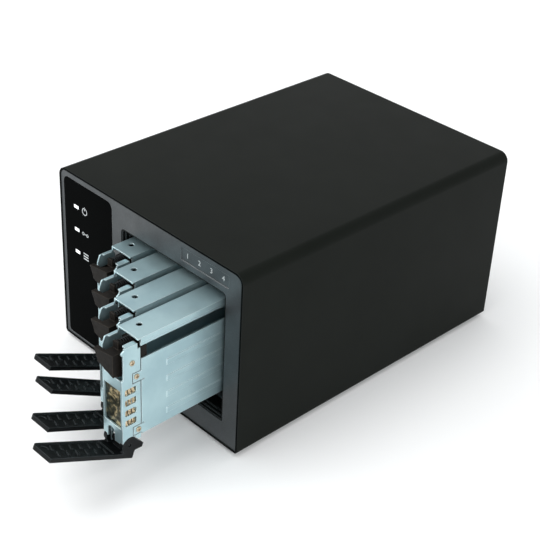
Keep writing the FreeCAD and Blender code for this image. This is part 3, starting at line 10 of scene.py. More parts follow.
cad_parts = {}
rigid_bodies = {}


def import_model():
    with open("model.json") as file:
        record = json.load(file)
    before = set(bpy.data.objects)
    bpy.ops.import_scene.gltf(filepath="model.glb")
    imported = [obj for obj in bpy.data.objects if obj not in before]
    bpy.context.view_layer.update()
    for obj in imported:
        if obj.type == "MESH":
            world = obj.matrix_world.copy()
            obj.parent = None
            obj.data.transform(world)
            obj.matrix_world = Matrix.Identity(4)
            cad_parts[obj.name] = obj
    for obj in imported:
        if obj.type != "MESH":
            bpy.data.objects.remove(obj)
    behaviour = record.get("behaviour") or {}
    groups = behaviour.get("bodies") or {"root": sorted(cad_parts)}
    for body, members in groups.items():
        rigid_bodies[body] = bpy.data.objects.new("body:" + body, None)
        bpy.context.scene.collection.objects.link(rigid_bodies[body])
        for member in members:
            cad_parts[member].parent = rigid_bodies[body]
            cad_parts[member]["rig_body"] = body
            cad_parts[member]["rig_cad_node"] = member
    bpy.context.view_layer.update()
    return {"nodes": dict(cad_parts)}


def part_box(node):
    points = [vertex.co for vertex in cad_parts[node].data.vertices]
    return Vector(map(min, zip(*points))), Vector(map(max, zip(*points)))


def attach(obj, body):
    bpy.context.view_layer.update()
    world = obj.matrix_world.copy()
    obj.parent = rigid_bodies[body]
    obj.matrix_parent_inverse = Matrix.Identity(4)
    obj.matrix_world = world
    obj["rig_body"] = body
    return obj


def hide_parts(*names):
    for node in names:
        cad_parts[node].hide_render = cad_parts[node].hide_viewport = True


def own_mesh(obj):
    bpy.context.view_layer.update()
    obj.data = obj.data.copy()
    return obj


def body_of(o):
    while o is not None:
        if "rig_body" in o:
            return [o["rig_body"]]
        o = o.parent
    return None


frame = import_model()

LOG = logging.getLogger("enclosure")
MM = 0.001
TRAY_COUNT = 4
MERGE_M = 2e-6              # corners of a CAD mesh closer than this are one corner
FLAT_DEG = 1.0              # triangles this close to one plane become one face
SHARP_DEG = 32.0            # edges sharper than this are rounded
SMOOTH_DEG = 40.0           # edges flatter than this are shaded smooth
FOIL_SMOOTH_DEG = 50.0      # the same for the crumpled foil
FACING_LEAST = 0.5          # a face looks along a vector from this product of the two
METAL_FROM = 0.5            # share of metal from which a finish keeps the default IOR


# ------------------------------------------------------------------ helpers
def srgb(code: str) -> tuple[float, float, float, float]:
    """Turn an sRGB hex colour into linear values.

    Args:
        code: Six hex digits, with or without a leading hash.

    Returns:
        Linear red, green, blue and an alpha of 1.
    """
    digits = code.lstrip("#")
    parts = [int(digits[n:n + 2], 16) / 255.0 for n in (0, 2, 4)]
    linear = [p / 12.92 if p <= 0.04045 else ((p + 0.055) / 1.055) ** 2.4 for p in parts]
    return (linear[0], linear[1], linear[2], 1.0)


def add_node(tree: bpy.types.NodeTree, kind: str, settings: dict | None = None,
             inputs: dict | None = None) -> bpy.types.Node:
    """Add one shader node with its settings and its inputs.

    Args:
        tree: Node tree that gets the node.
        kind: Blender's name of the node type.
        settings: Attributes of the node itself.
        inputs: Input name or index, to a value or to an output socket to link.

    Returns:
        The new node.
    """
    node = tree.nodes.new(kind)
    for key, value in (settings or {}).items():
        setattr(node, key, value)
    for key, value in (inputs or {}).items():
        socket = node.inputs[key]
        if isinstance(value, bpy.types.NodeSocket):
            tree.links.new(value, socket)
        else:
            socket.default_value = value
    return node


def set_ramp(node: bpy.types.Node, stops: list[tuple[float, str]]) -> None:
    """Give a colour ramp its stops.

    Args:
        node: Colour ramp node.
        stops: Position and hex colour of each stop, in order.
    """
    ramp = node.color_ramp
    while len(ramp.elements) < len(stops):
        ramp.elements.new(0.5)
    for element, (place, code) in zip(ramp.elements, stops):
        element.position = place
        element.color = srgb(code)


def deselect() -> None:
    """Leave edit mode and select nothing."""
    if bpy.context.mode != "OBJECT":
        bpy.ops.object.mode_set(mode="OBJECT")
    bpy.ops.object.select_all(action="DESELECT")


def activate(obj: bpy.types.Object) -> None:
    """Make one object the only selected and active one.

    Args:
        obj: The object.
    """
    deselect()
    obj.select_set(True)
    bpy.context.view_layer.objects.active = obj


def bake_place(obj: bpy.types.Object) -> None:
    """Move an object's place, turn and scale into its mesh."""
    activate(obj)
    bpy.ops.object.transform_apply(location=True, rotation=True, scale=True)


def finish_mesh(obj: bpy.types.Object, width_mm: float, segments: int = 2) -> None:
    """Round the sharp edges of a mesh and shade it.

    Args:
        obj: Mesh object.
        width_mm: Width of the rounding, or 0 for none.
        segments: Steps across the rounding.
    """
    activate(obj)
    if width_mm > 0:
        bevel = obj.modifiers.new("edges", "BEVEL")
        bevel.width = width_mm * MM
        bevel.segments = segments
        bevel.limit_method = "ANGLE"
        bevel.angle_limit = math.radians(SHARP_DEG)
        bevel.use_clamp_overlap = True
        bevel.harden_normals = False
        bpy.ops.object.modifier_apply(modifier=bevel.name)
    bpy.ops.object.shade_smooth_by_angle(angle=math.radians(SMOOTH_DEG))
    weighted = obj.modifiers.new("flat_faces", "WEIGHTED_NORMAL")
    weighted.keep_sharp = True
    bpy.ops.object.modifier_apply(modifier=weighted.name)


def rounded_copy(node: str, name: str, width_mm: float, segments: int = 2) -> bpy.types.Object:
    """Make a visual piece from a CAD node, with its edges rounded.

    Args:
        node: Name of the CAD node.
        name: Name of the new piece.
        width_mm: Width of the rounding.
        segments: Steps across the rounding.

    Returns:
        The new piece, which replaces the node.
    """
    source = frame["nodes"][node]
    piece = source.copy()
    piece.data = source.data.copy()
    piece.parent = None
    piece.matrix_world = Matrix.Identity(4)
    piece.name = name
    piece.data.name = name
    del piece["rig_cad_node"]
    bpy.context.scene.collection.objects.link(piece)
    activate(piece)
    bpy.ops.object.mode_set(mode="EDIT")
    bpy.ops.mesh.select_all(action="SELECT")
    bpy.ops.mesh.remove_doubles(threshold=MERGE_M)
    bpy.ops.mesh.dissolve_limited(angle_limit=math.radians(FLAT_DEG))
    bpy.ops.mesh.customdata_custom_splitnormals_clear()
    bpy.ops.object.mode_set(mode="OBJECT")
    finish_mesh(piece, width_mm, segments)
    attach(piece, body_of(source)[0])
    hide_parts(node)
    LOG.info("%s made from %s", name, node)
    return piece


def dress(obj: bpy.types.Object, material: bpy.types.Material) -> None:
    """Give every face of an object one material.

    Args:
        obj: Mesh object.
        material: Its material.
    """
    if not obj.material_slots:
        obj.data.materials.append(material)
    for place in obj.material_slots:
        place.material = material


def paint_faces(obj: bpy.types.Object, material: bpy.types.Material, facing: Vector,
                places: tuple[float, float]) -> None:
    """Give the faces that look one way, and lie between two planes, their own material.

    Args:
        obj: Mesh object that already has a material.
        material: Material of those faces.
        facing: Unit vector along the axis that they look along.
        places: Lowest and highest place of a face's middle along that vector, in metres.
    """
    obj.data.materials.append(material)
    slot = len(obj.data.materials) - 1
    for face in obj.data.polygons:
        place = face.center.dot(facing)
        if face.normal.dot(facing) > FACING_LEAST and places[0] < place < places[1]:
            face.material_index = slot


def join(name: str, parts: list[bpy.types.Object]) -> bpy.types.Object:
    """Join separate meshes into one piece.

    Args:
        name: Name of the joined piece.
        parts: Meshes to join.

    Returns:
        The joined piece.
    """
    deselect()
    for part in parts:
        part.select_set(True)
    bpy.context.view_layer.objects.active = parts[0]
    if len(parts) > 1:
        bpy.ops.object.join()
    piece = bpy.context.active_object
    piece.name = name
    piece.data.name = name
    return piece


# ------------------------------------------------------------------ finishes
@dataclass(frozen=True)
class Finish:
    """A surface: what it is made of and how it was made.

    The slow variation is a soft change of tone over the piece, the grain is the
    texture of the surface itself, and the edge tone is a painted highlight, a lighter
    colour along a rounded edge where light catches it.

    Attributes:
        name: Name of the material.
        colour: Lighter tone of the surface.
        shade: Darker tone of the surface.
        metallic: Share of metal.
        ior: Index of refraction, where it is no metal.
        roughness: Least and most roughness.
        patch_mm: Size of the slow patches.
        grain_mm: Size of the grain.
        grain_depth_mm: Depth of the grain.
        edge: Tone of the painted highlight along the edges, or nothing.
        edge_mm: Reach of the softened edges and of the painted edge highlight.
        edge_highlight_share: How far the edge tone covers.
        specular: Strength of the surface's reflection, where it is no metal.
        glow: Strength of its own light.
    """

    name: str
    colour: str
    shade: str
    metallic: float = 0.0
    ior: float = 1.5
    roughness: tuple[float, float] = (0.4, 0.5)
    patch_mm: float = 30.0
    grain_mm: float = 0.6
    grain_depth_mm: float = 0.02
    edge: str = ""
    edge_mm: float = 0.25
    edge_highlight_share: float = 0.5
    specular: float = 0.5
    glow: float = 0.0

    def make(self) -> bpy.types.Material:
        """Build the material.

        Returns:
            The finished material.
        """
        material = bpy.data.materials.new(self.name)
        material.use_nodes = True
        tree = material.node_tree
        shader = tree.nodes["Principled BSDF"]
        place = add_node(tree, "ShaderNodeTexCoord").outputs["Object"]
        colour = self.tone(tree, place)
        # painted highlight: a lighter colour along the rounded edges
        if self.edge:
            colour = self.paint_edge_highlights(tree, colour)
        tree.links.new(colour, shader.inputs["Base Color"])
        self.set_roughness(tree, place, shader)
        tree.links.new(self.relief(tree, place), shader.inputs["Normal"])
        shader.inputs["Metallic"].default_value = self.metallic
        if self.metallic < METAL_FROM:
            shader.inputs["IOR"].default_value = self.ior
            shader.inputs["Specular IOR Level"].default_value = self.specular
        if self.glow > 0:
            shader.inputs["Emission Color"].default_value = srgb(self.colour)
            shader.inputs["Emission Strength"].default_value = self.glow
        return material

    def tone(self, tree: bpy.types.NodeTree, place: bpy.types.NodeSocket) -> bpy.types.NodeSocket:
        """Colour with its slow variation.

        Args:
            tree: Node tree of the material.
            place: Coordinates in metres.

        Returns:
            Colour output.
        """
        noise = add_node(tree, "ShaderNodeTexNoise", inputs={
            "Vector": place, "Scale": 1.0 / (self.patch_mm * MM), "Detail": 5.0, "Roughness": 0.55})
        ramp = add_node(tree, "ShaderNodeValToRGB", inputs={"Fac": noise.outputs["Fac"]})
        set_ramp(ramp, [(0.38, self.shade), (0.62, self.colour)])
        return ramp.outputs["Color"]

    def paint_edge_highlights(self, tree: bpy.types.NodeTree,
                    colour: bpy.types.NodeSocket) -> bpy.types.NodeSocket:
        """Painted highlight: lighten the colour along rounded edges, where light catches them.

        Args:
            tree: Node tree of the material.
            colour: Colour away from the edges.

        Returns:
            Colour output.
        """
        bevel = add_node(tree, "ShaderNodeBevel", {"samples": 4}, {"Radius": self.edge_mm * MM})
        geometry = add_node(tree, "ShaderNodeNewGeometry")
        likeness = add_node(tree, "ShaderNodeVectorMath", {"operation": "DOT_PRODUCT"},
                            {0: bevel.outputs["Normal"], 1: geometry.outputs["Normal"]})
        mask = add_node(tree, "ShaderNodeMapRange", inputs={
            "Value": likeness.outputs["Value"], "From Min": 0.99, "From Max": 0.85,
            "To Min": 0.0, "To Max": self.edge_highlight_share})
        mix = add_node(tree, "ShaderNodeMix", {"data_type": "RGBA"}, {
            "Factor": mask.outputs["Result"], 6: colour, 7: srgb(self.edge)})
        return mix.outputs[2]

    def set_roughness(self, tree: bpy.types.NodeTree, place: bpy.types.NodeSocket,
                      shader: bpy.types.Node) -> None:
        """Vary the roughness a little over the piece.

        Args:
            tree: Node tree of the material.
            place: Coordinates in metres.
            shader: Node that takes the roughness.
        """
        noise = add_node(tree, "ShaderNodeTexNoise", inputs={
            "Vector": place, "Scale": 1.0 / (self.patch_mm * 0.35 * MM), "Detail": 6.0})
        spread = add_node(tree, "ShaderNodeMapRange", inputs={
            "Value": noise.outputs["Fac"], "From Min": 0.35, "From Max": 0.65,
            "To Min": self.roughness[0], "To Max": self.roughness[1]})
        tree.links.new(spread.outputs["Result"], shader.inputs["Roughness"])

    def relief(self, tree: bpy.types.NodeTree, place: bpy.types.NodeSocket) -> bpy.types.NodeSocket:
        """Surface grain over softened edges.

        Args:
            tree: Node tree of the material.
            place: Coordinates in metres.

        Returns:
            Normal output.
        """
        soft = add_node(tree, "ShaderNodeBevel", {"samples": 4}, {"Radius": self.edge_mm * MM})
        grain = add_node(tree, "ShaderNodeTexNoise", inputs={
            "Vector": place, "Scale": 1.0 / (self.grain_mm * MM), "Detail": 3.0})
        bump = add_node(tree, "ShaderNodeBump", inputs={
            "Strength": 1.0, "Distance": self.grain_depth_mm * MM,
            "Height": grain.outputs["Fac"], "Normal": soft.outputs["Normal"]})
        return bump.outputs["Normal"]


@dataclass(frozen=True)
class Flakes(Finish):
    """Lacquer with metal flakes, drawn coarser than they are so that they show."""

    flake_mm: float = 0.55

    def tone(self, tree: bpy.types.NodeTree, place: bpy.types.NodeSocket) -> bpy.types.NodeSocket:
        """Slow variation with lighter and darker flakes over it.

        Args:
            tree: Node tree of the material.
            place: Coordinates in metres.

        Returns:
            Colour output.
        """
        base = Finish.tone(self, tree, place)
        cells = add_node(tree, "ShaderNodeTexVoronoi", {}, {
            "Vector": place, "Scale": 1.0 / (self.flake_mm * MM)})
        spread = add_node(tree, "ShaderNodeMapRange", inputs={
            "Value": cells.outputs["Color"], "To Min": 0.82, "To Max": 1.2})
        mix = add_node(tree, "ShaderNodeVectorMath", {"operation": "MULTIPLY"}, {
            0: base, 1: spread.outputs["Result"]})
        return mix.outputs["Vector"]


@dataclass(frozen=True)
class RolledSteel(Finish):
    """Zinc-plated sheet: fine rolling lines along the sheet and a cloudy blue plating."""

    roll_mm: float = 0.35

    def relief(self, tree: bpy.types.NodeTree, place: bpy.types.NodeSocket) -> bpy.types.NodeSocket:
        """Fine lines drawn out along the rolling direction.

        Args:
            tree: Node tree of the material.
            place: Coordinates in metres.

        Returns:
            Normal output.
        """
        soft = add_node(tree, "ShaderNodeBevel", {"samples": 4}, {"Radius": self.edge_mm * MM})
        drawn = add_node(tree, "ShaderNodeMapping", inputs={"Vector": place, "Scale": (1.0, 0.05, 1.0)})
        lines = add_node(tree, "ShaderNodeTexNoise", inputs={
            "Vector": drawn.outputs["Vector"], "Scale": 1.0 / (self.roll_mm * MM), "Detail": 2.0})
        bump = add_node(tree, "ShaderNodeBump", inputs={
            "Strength": 1.0, "Distance": self.grain_depth_mm * MM,
            "Height": lines.outputs["Fac"], "Normal": soft.outputs["Normal"]})
        return bump.outputs["Normal"]


@dataclass(frozen=True)
class SpringBronze(Finish):
    """Thin bronze sheet: dull, stained and uneven, with bright rubbed spots."""

    stain: str = "3B3D2B"
    rubbed: str = "B5A582"

    def tone(self, tree: bpy.types.NodeTree, place: bpy.types.NodeSocket) -> bpy.types.NodeSocket:
        """Blotches from stained to rubbed bright.

        Args:
            tree: Node tree of the material.
            place: Coordinates in metres.

        Returns:
            Colour output.
        """
        noise = add_node(tree, "ShaderNodeTexNoise", inputs={
            "Vector": place, "Scale": 1.0 / (self.patch_mm * MM), "Detail": 3.0, "Distortion": 1.2})
        ramp = add_node(tree, "ShaderNodeValToRGB", inputs={"Fac": noise.outputs["Fac"]})
        set_ramp(ramp, [(0.42, self.stain), (0.50, self.shade), (0.57, self.colour), (0.63, self.rubbed)])
        return ramp.outputs["Color"]


@dataclass(frozen=True)
class CircuitBoard(Finish):
    """Solder mask over copper tracks, which show a little lighter."""

    track: str = "1F6B45"
    track_mm: float = 2.5

    def tone(self, tree: bpy.types.NodeTree, place: bpy.types.NodeSocket) -> bpy.types.NodeSocket:
        """Green mask with squared-off tracks.

        Args:
            tree: Node tree of the material.
            place: Coordinates in metres.

        Returns:
            Colour output.
        """
        cells = add_node(tree, "ShaderNodeTexVoronoi", {"distance": "MANHATTAN", "feature": "F1"}, {
            "Vector": place, "Scale": 1.0 / (self.track_mm * MM)})
        ramp = add_node(tree, "ShaderNodeValToRGB", {}, {"Fac": cells.outputs["Distance"]})
        set_ramp(ramp, [(0.30, self.shade), (0.34, self.track), (0.42, self.track), (0.46, self.colour)])
        return ramp.outputs["Color"]


class Finishes:
    """All the surfaces of the enclosure, made once."""

    def __init__(self) -> None:
        """Make every material."""
        # Powder coat: sprayed dry and baked, so a fine orange peel and a satin sheen; a painted highlight
        # lightens its edges.
        self.powder_coat = Finish("powder_coat", "121512", "101310", roughness=(0.43, 0.46), patch_mm=60,
                                  grain_mm=0.8, grain_depth_mm=0.03, edge="4A5252", edge_mm=0.8,
                                  edge_highlight_share=0.45, specular=0.05).make()
        # Painted shade: near-black for the sleeve's front rim round the bezel and for the strip behind the
        # trays' tab gaps, where shade falls.
        self.painted_shade = Finish("painted_shade", "060707", "040505", roughness=(0.6, 0.7), patch_mm=20,
                                specular=0.02, edge_mm=0.2).make()
        # Metallic lacquer on the moulded front: dark grey with fine aluminium flakes, and a painted highlight
        # along its edges.
        self.bezel_lacquer = Flakes("bezel_lacquer", "404446", "373B3D", metallic=0.5,
                                    roughness=(0.38, 0.46), patch_mm=25, grain_mm=0.35,
                                    grain_depth_mm=0.01, edge="8D9293", edge_mm=0.55,
                                    edge_highlight_share=0.6).make()
        # Polished acrylic with a black back: deep, near-perfect gloss, with a faint painted highlight on its
        # edges.
        self.gloss_acrylic = Finish("gloss_acrylic", "020303", "010202", roughness=(0.06, 0.10),
                                    patch_mm=50, grain_mm=8, grain_depth_mm=0.004, edge="1C2021",
                                    edge_mm=0.2, specular=0.006).make()
        # Clear light bars, lit from behind by white diodes.
        self.lit_plastic = Finish("lit_plastic", "F4F7F8", "E8EEF0", roughness=(0.2, 0.3),
                                  glow=0.9).make()
        # Silk-screened marks: flat opaque white ink.
        self.white_ink = Finish("white_ink", "B9BDBE", "ADB2B3", roughness=(0.5, 0.6), grain_mm=0.2,
                                grain_depth_mm=0.004).make()
        # Moulded ABS from a spark-eroded mould: fine matt grain, with a painted highlight along its edges.
        self.black_abs = Finish("black_abs", "111314", "0D0F10", roughness=(0.42, 0.55), patch_mm=15,
                                grain_mm=0.5, grain_depth_mm=0.02, edge="33383A", edge_mm=0.3,
                                edge_highlight_share=0.6, specular=0.12).make()
        # The same plastic round the bays, with a painted highlight on its ridges that draws light lines.
        self.liner_abs = Finish("liner_abs", "0E1010", "0A0C0C", roughness=(0.42, 0.55), patch_mm=15,
                                grain_mm=0.5, grain_depth_mm=0.02, edge="6A7274", edge_mm=0.45,
                                edge_highlight_share=0.9, specular=0.08).make()
        # Glass-filled nylon of the levers: darker, slightly waxy, with a strong painted highlight along the
        # rims.
        self.lever_nylon = Finish("lever_nylon", "0C0F10", "080A0B", roughness=(0.36, 0.5), patch_mm=12,
                                  grain_mm=0.6, grain_depth_mm=0.025, edge="4A5254", edge_mm=0.5,
                                  edge_highlight_share=0.85, specular=0.12).make()
        # Acetal of the latch block: warm brown-black, matt, with a painted highlight along its edges.
        self.latch_acetal = Finish("latch_acetal", "1B1815", "141210", roughness=(0.5, 0.6), patch_mm=8,
                                   grain_mm=0.5, grain_depth_mm=0.02, edge="565048", edge_mm=0.5,
                                   edge_highlight_share=0.6, specular=0.1).make()
        # Zinc-plated sheet: cloudy, cold blue-grey, with a bright painted highlight along its edges.
        self.zinc_steel = RolledSteel("zinc_steel", "AAC5CA", "9AB6BD", metallic=0.72,
                                      roughness=(0.3, 0.42), patch_mm=35, grain_depth_mm=0.006,
                                      edge="F2FBFB", edge_mm=0.5, edge_highlight_share=0.8).make()
        # Bare galvanised sheet inside: duller and darker than the trays, with a painted highlight along its
        # edges.
        self.inner_steel = RolledSteel("inner_steel", "8D9598", "7C8487", metallic=0.9,
                                       roughness=(0.4, 0.5), patch_mm=18, grain_depth_mm=0.006,
                                       edge="C0C6C8", edge_highlight_share=0.5).make()
        # Stainless wire and shells: drawn bright.
        self.bright_steel = Finish("bright_steel", "C9CCCC", "B8BCBC", metallic=1.0,
                                   roughness=(0.22, 0.32), patch_mm=6, grain_mm=0.3,
                                   grain_depth_mm=0.004, edge_mm=0.15).make()
        # Nickel-plated screws, a little yellow.
        self.nickel = Finish("nickel", "CDBEA6", "A3957E", metallic=1.0, roughness=(0.24, 0.36),
                             patch_mm=1.5, grain_mm=0.3, grain_depth_mm=0.006, edge_mm=0.15).make()
        # Black-oxide spring and screws: oily black with worn metal below.
        self.black_oxide = Finish("black_oxide", "26292B", "17191A", metallic=0.7,
                                  roughness=(0.3, 0.42), patch_mm=3, grain_mm=0.3,
                                  grain_depth_mm=0.006, edge_mm=0.15).make()
        # Spring bronze: thin, stained and rubbed bright in places.
        self.spring_bronze = SpringBronze("spring_bronze", "5E5741", "3B3D2B", stain="24251B",
                                          rubbed="B3A37C", metallic=0.55, roughness=(0.28, 0.45),
                                          patch_mm=5.5, grain_mm=1.2, grain_depth_mm=0.08,
                                          edge_mm=0.1).make()
        # The same bronze painted pale for the fingers: a painted highlight, the lit copy of the spring
        # bronze.
        self.lit_finger_bronze = SpringBronze("lit_finger_bronze", "C8B594", "A8977A", stain="7A6C54",
                                          rubbed="E2D4B8", metallic=0.85, roughness=(0.25, 0.38),
                                          patch_mm=1.6, grain_mm=0.5, grain_depth_mm=0.02,
                                          edge_mm=0.1).make()
        # Glass-epoxy boards under green solder mask.
        self.circuit_board = CircuitBoard("circuit_board", "0F3F2A", "0B3322",
                                          roughness=(0.3, 0.4), edge_mm=0.1).make()
        # Black-anodised extrusion.
        self.anodised = Finish("anodised_black", "202223", "191B1C", metallic=0.8,
                               roughness=(0.35, 0.45), patch_mm=10, edge_mm=0.15).make()
        # Moulded rubber: dull, no sheen.
        self.rubber = Finish("rubber", "1A1A1B", "141415", roughness=(0.75, 0.85), patch_mm=6,
                             grain_mm=0.4, grain_depth_mm=0.03, edge_mm=0.4, specular=0.2).make()


# ------------------------------------------------------------------ pieces
@dataclass
class Case:
    """The sleeve, the rear panel and everything that only needs a finish."""

    finishes: Finishes
    sleeve_edge_mm: float = 0.5
    rear_edge_mm: float = 0.25
    foot_edge_mm: float = 0.5
    moulded_edge_mm: float = 0.3
    rocker_edge_mm: float = 0.4
    lip_mm: float = 0.6

    def build(self) -> None:
        """Make the sleeve and the outside pieces of the rear."""
        f = self.finishes
        sleeve = rounded_copy("outer_sleeve", "sleeve_shell", self.sleeve_edge_mm, 3)
        dress(sleeve, f.powder_coat)
        # Painted shade: the sleeve's front rim round the bezel is made near-black.
        front = -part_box("outer_sleeve")[0].y
        paint_faces(sleeve, f.painted_shade, Vector((0, -1, 0)), (front - self.lip_mm * MM, front + MM))
        dress(rounded_copy("rear_panel", "rear_plate", self.rear_edge_mm), f.powder_coat)
        dress(rounded_copy("rubber_feet", "rubber_feet_round", self.foot_edge_mm), f.rubber)
        dress(rounded_copy("power_inlet", "inlet_module", self.moulded_edge_mm), f.black_abs)
        dress(rounded_copy("rocker_switch", "rocker_cap", self.rocker_edge_mm), f.gloss_acrylic)
        dress(rounded_copy("fan_frame", "fan_frame_round", self.moulded_edge_mm), f.black_abs)
        LOG.info("case shell, rear plate, feet, inlet and rocker")

    def dress_nodes(self) -> None:
        """Give the pieces that keep their CAD shape their finish."""
        f = self.finishes
        choice = {
            "light_pipes": f.lit_plastic, "status_board": f.circuit_board, "drive_cage": f.inner_steel,
            "upper_guide": f.black_abs, "lower_guide": f.black_abs, "backplane": f.circuit_board,
            "drive_sockets": f.black_abs, "chassis_base": f.inner_steel,
            "switch_board": f.circuit_board, "heat_sink": f.anodised, "power_supply": f.inner_steel,
            "fan_rotor": f.black_abs, "fan_guard": f.bright_steel, "host_ports": f.bright_steel,
            "chassis_screws": f.black_oxide}
        for node, material in choice.items():
            dress(frame["nodes"][node], material)
        LOG.info("inside pieces dressed: %d", len(choice))


class Mark(Enum):
    """Signs printed beside the indicator lights."""

    POWER = "power"
    LINK = "link"
    DRIVES = "drives"


@dataclass
class Front:
    """The metallic front, its black panel, the marks and the bay's frame.

    The stem, link and stack values are shares of half a mark's size, and stack_line is a
    share of the stroke's width.
    """

    finishes: Finishes
    edge_mm: float = 0.35
    panel_edge_mm: float = 0.25
    frame_edge_mm: float = 0.2
    ink_mm: float = 0.06
    line_mm: float = 0.65
    mark_mm: float = 5.6
    ring_corners: int = 40
    stem_rise: float = 0.75
    link_reach: float = 0.8
    link_ring: float = 0.45
    stack_step: float = 0.75
    stack_line: float = 1.6
    mark_gap_mm: float = 9.5
    light_pitch_mm: float = 18.1
    light_half_mm: float = 1.95
    label_x_mm: tuple[float, float] = (35.4, 80.4)
    label_z_mm: float = 130.75
    label_floor_y_mm: float = -129.0
    figure_mm: float = 5.2

    def build(self) -> None:
        """Make the front's pieces."""
        f = self.finishes
        dress(rounded_copy("front_bezel", "bezel_front", self.edge_mm, 3), f.bezel_lacquer)
        dress(rounded_copy("indicator_panel", "panel_glass", self.panel_edge_mm, 3), f.gloss_acrylic)
        dress(rounded_copy("bay_liner", "bay_frame", self.frame_edge_mm), f.liner_abs)
        self.print_marks()
        self.print_figures()
        LOG.info("front, panel, marks and bay frame")

    def print_marks(self) -> None:
        """Print one sign beside each light."""
        low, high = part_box("light_pipes")
        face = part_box("indicator_panel")[0].y
        for row, mark in enumerate(Mark):
            middle = Vector(((low.x + high.x) / 2 + self.mark_gap_mm * MM, face,
                             high.z - (self.light_half_mm + row * self.light_pitch_mm) * MM))
            self.ink(f"mark_{mark.value}", self.sign(mark, middle))

    def sign(self, mark: Mark, middle: Vector) -> list[bpy.types.Object]:
        """Strokes of one sign.

        Args:
            mark: Which sign.
            middle: Its middle, on the panel's face.

        Returns:
            Flat strokes that face the front.
        """
        half = self.mark_mm / 2
        if mark is Mark.POWER:
            return [self.ring(middle, half),
                    self.bar(middle, 0.0, half * self.stem_rise, self.line_mm, half)]
        if mark is Mark.LINK:
            reach = Vector((half * MM * self.link_reach, 0, 0))
            return [self.ring(middle - reach, half * self.link_ring),
                    self.ring(middle + reach, half * self.link_ring),
                    self.bar(middle, 0.0, 0.0, half * self.link_reach, self.line_mm)]
        return [self.bar(middle, 0.0, step * half * self.stack_step, half * 2,
                         self.line_mm * self.stack_line) for step in (-1, 0, 1)]

    def ring(self, middle: Vector, radius_mm: float) -> bpy.types.Object:
        """Flat ring that faces the front.

        Args:
            middle: Its middle.
            radius_mm: Its outer radius.

        Returns:
            The ring.
        """
        deselect()
        bpy.ops.mesh.primitive_circle_add(vertices=self.ring_corners, radius=radius_mm * MM,
                                          fill_type="NGON", location=middle, rotation=(math.pi / 2, 0.0, 0.0))
        ring = bpy.context.active_object
        bpy.ops.object.mode_set(mode="EDIT")
        bpy.ops.mesh.select_all(action="SELECT")
        bpy.ops.mesh.inset(thickness=self.line_mm * MM)
        bpy.ops.mesh.delete(type="FACE")
        bpy.ops.object.mode_set(mode="OBJECT")
        bake_place(ring)
        return ring

    def bar(self, middle: Vector, along_mm: float, up_mm: float, width_mm: float,
            height_mm: float) -> bpy.types.Object:
        """Flat stroke that faces the front.

        Args:
            middle: Middle of the sign.
            along_mm: Stroke's middle to the right of it.
            up_mm: Stroke's middle above it.
            width_mm: Width of the stroke.
            height_mm: Height of the stroke.

        Returns:
            The stroke.
        """
        deselect()
        place = middle + Vector((along_mm * MM, 0.0, up_mm * MM))
        bpy.ops.mesh.primitive_plane_add(size=1.0, location=place, rotation=(math.pi / 2, 0.0, 0.0))
        bar = bpy.context.active_object
        bar.scale = (width_mm * MM, height_mm * MM, 1.0)
        bake_place(bar)
        return bar

    def ink(self, name: str, strokes: list[bpy.types.Object]) -> None:
        """Join flat strokes into one thin print.

        Args:
            name: Name of the piece.
            strokes: Flat strokes.
        """
        piece = join(name, strokes)
        activate(piece)
        layer = piece.modifiers.new("ink", "SOLIDIFY")
        layer.thickness = self.ink_mm * MM
        layer.offset = 1.0
        bpy.ops.object.modifier_apply(modifier=layer.name)
        piece.data.materials.clear()
        dress(piece, self.finishes.white_ink)
        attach(piece, "case")

    def print_figures(self) -> None:
        """Number the bays on the plate over them."""
        left, right = self.label_x_mm
        step = (right - left) / TRAY_COUNT
        for n in range(TRAY_COUNT):
            deselect()
            place = Vector(((left + (n + 0.5) * step) * MM, self.label_floor_y_mm * MM,
                            self.label_z_mm * MM))
            bpy.ops.object.text_add(location=place, rotation=(math.pi / 2, 0.0, 0.0))
            text = bpy.context.active_object
            text.data.body = str(n + 1)
            text.data.align_x = "CENTER"
            text.data.align_y = "CENTER"
            text.data.size = self.figure_mm * MM
            activate(text)
            bpy.ops.object.convert(target="MESH")
            figure = bpy.context.active_object
            bake_place(figure)
            self.ink(f"bay_figure_{n + 1}", [figure])


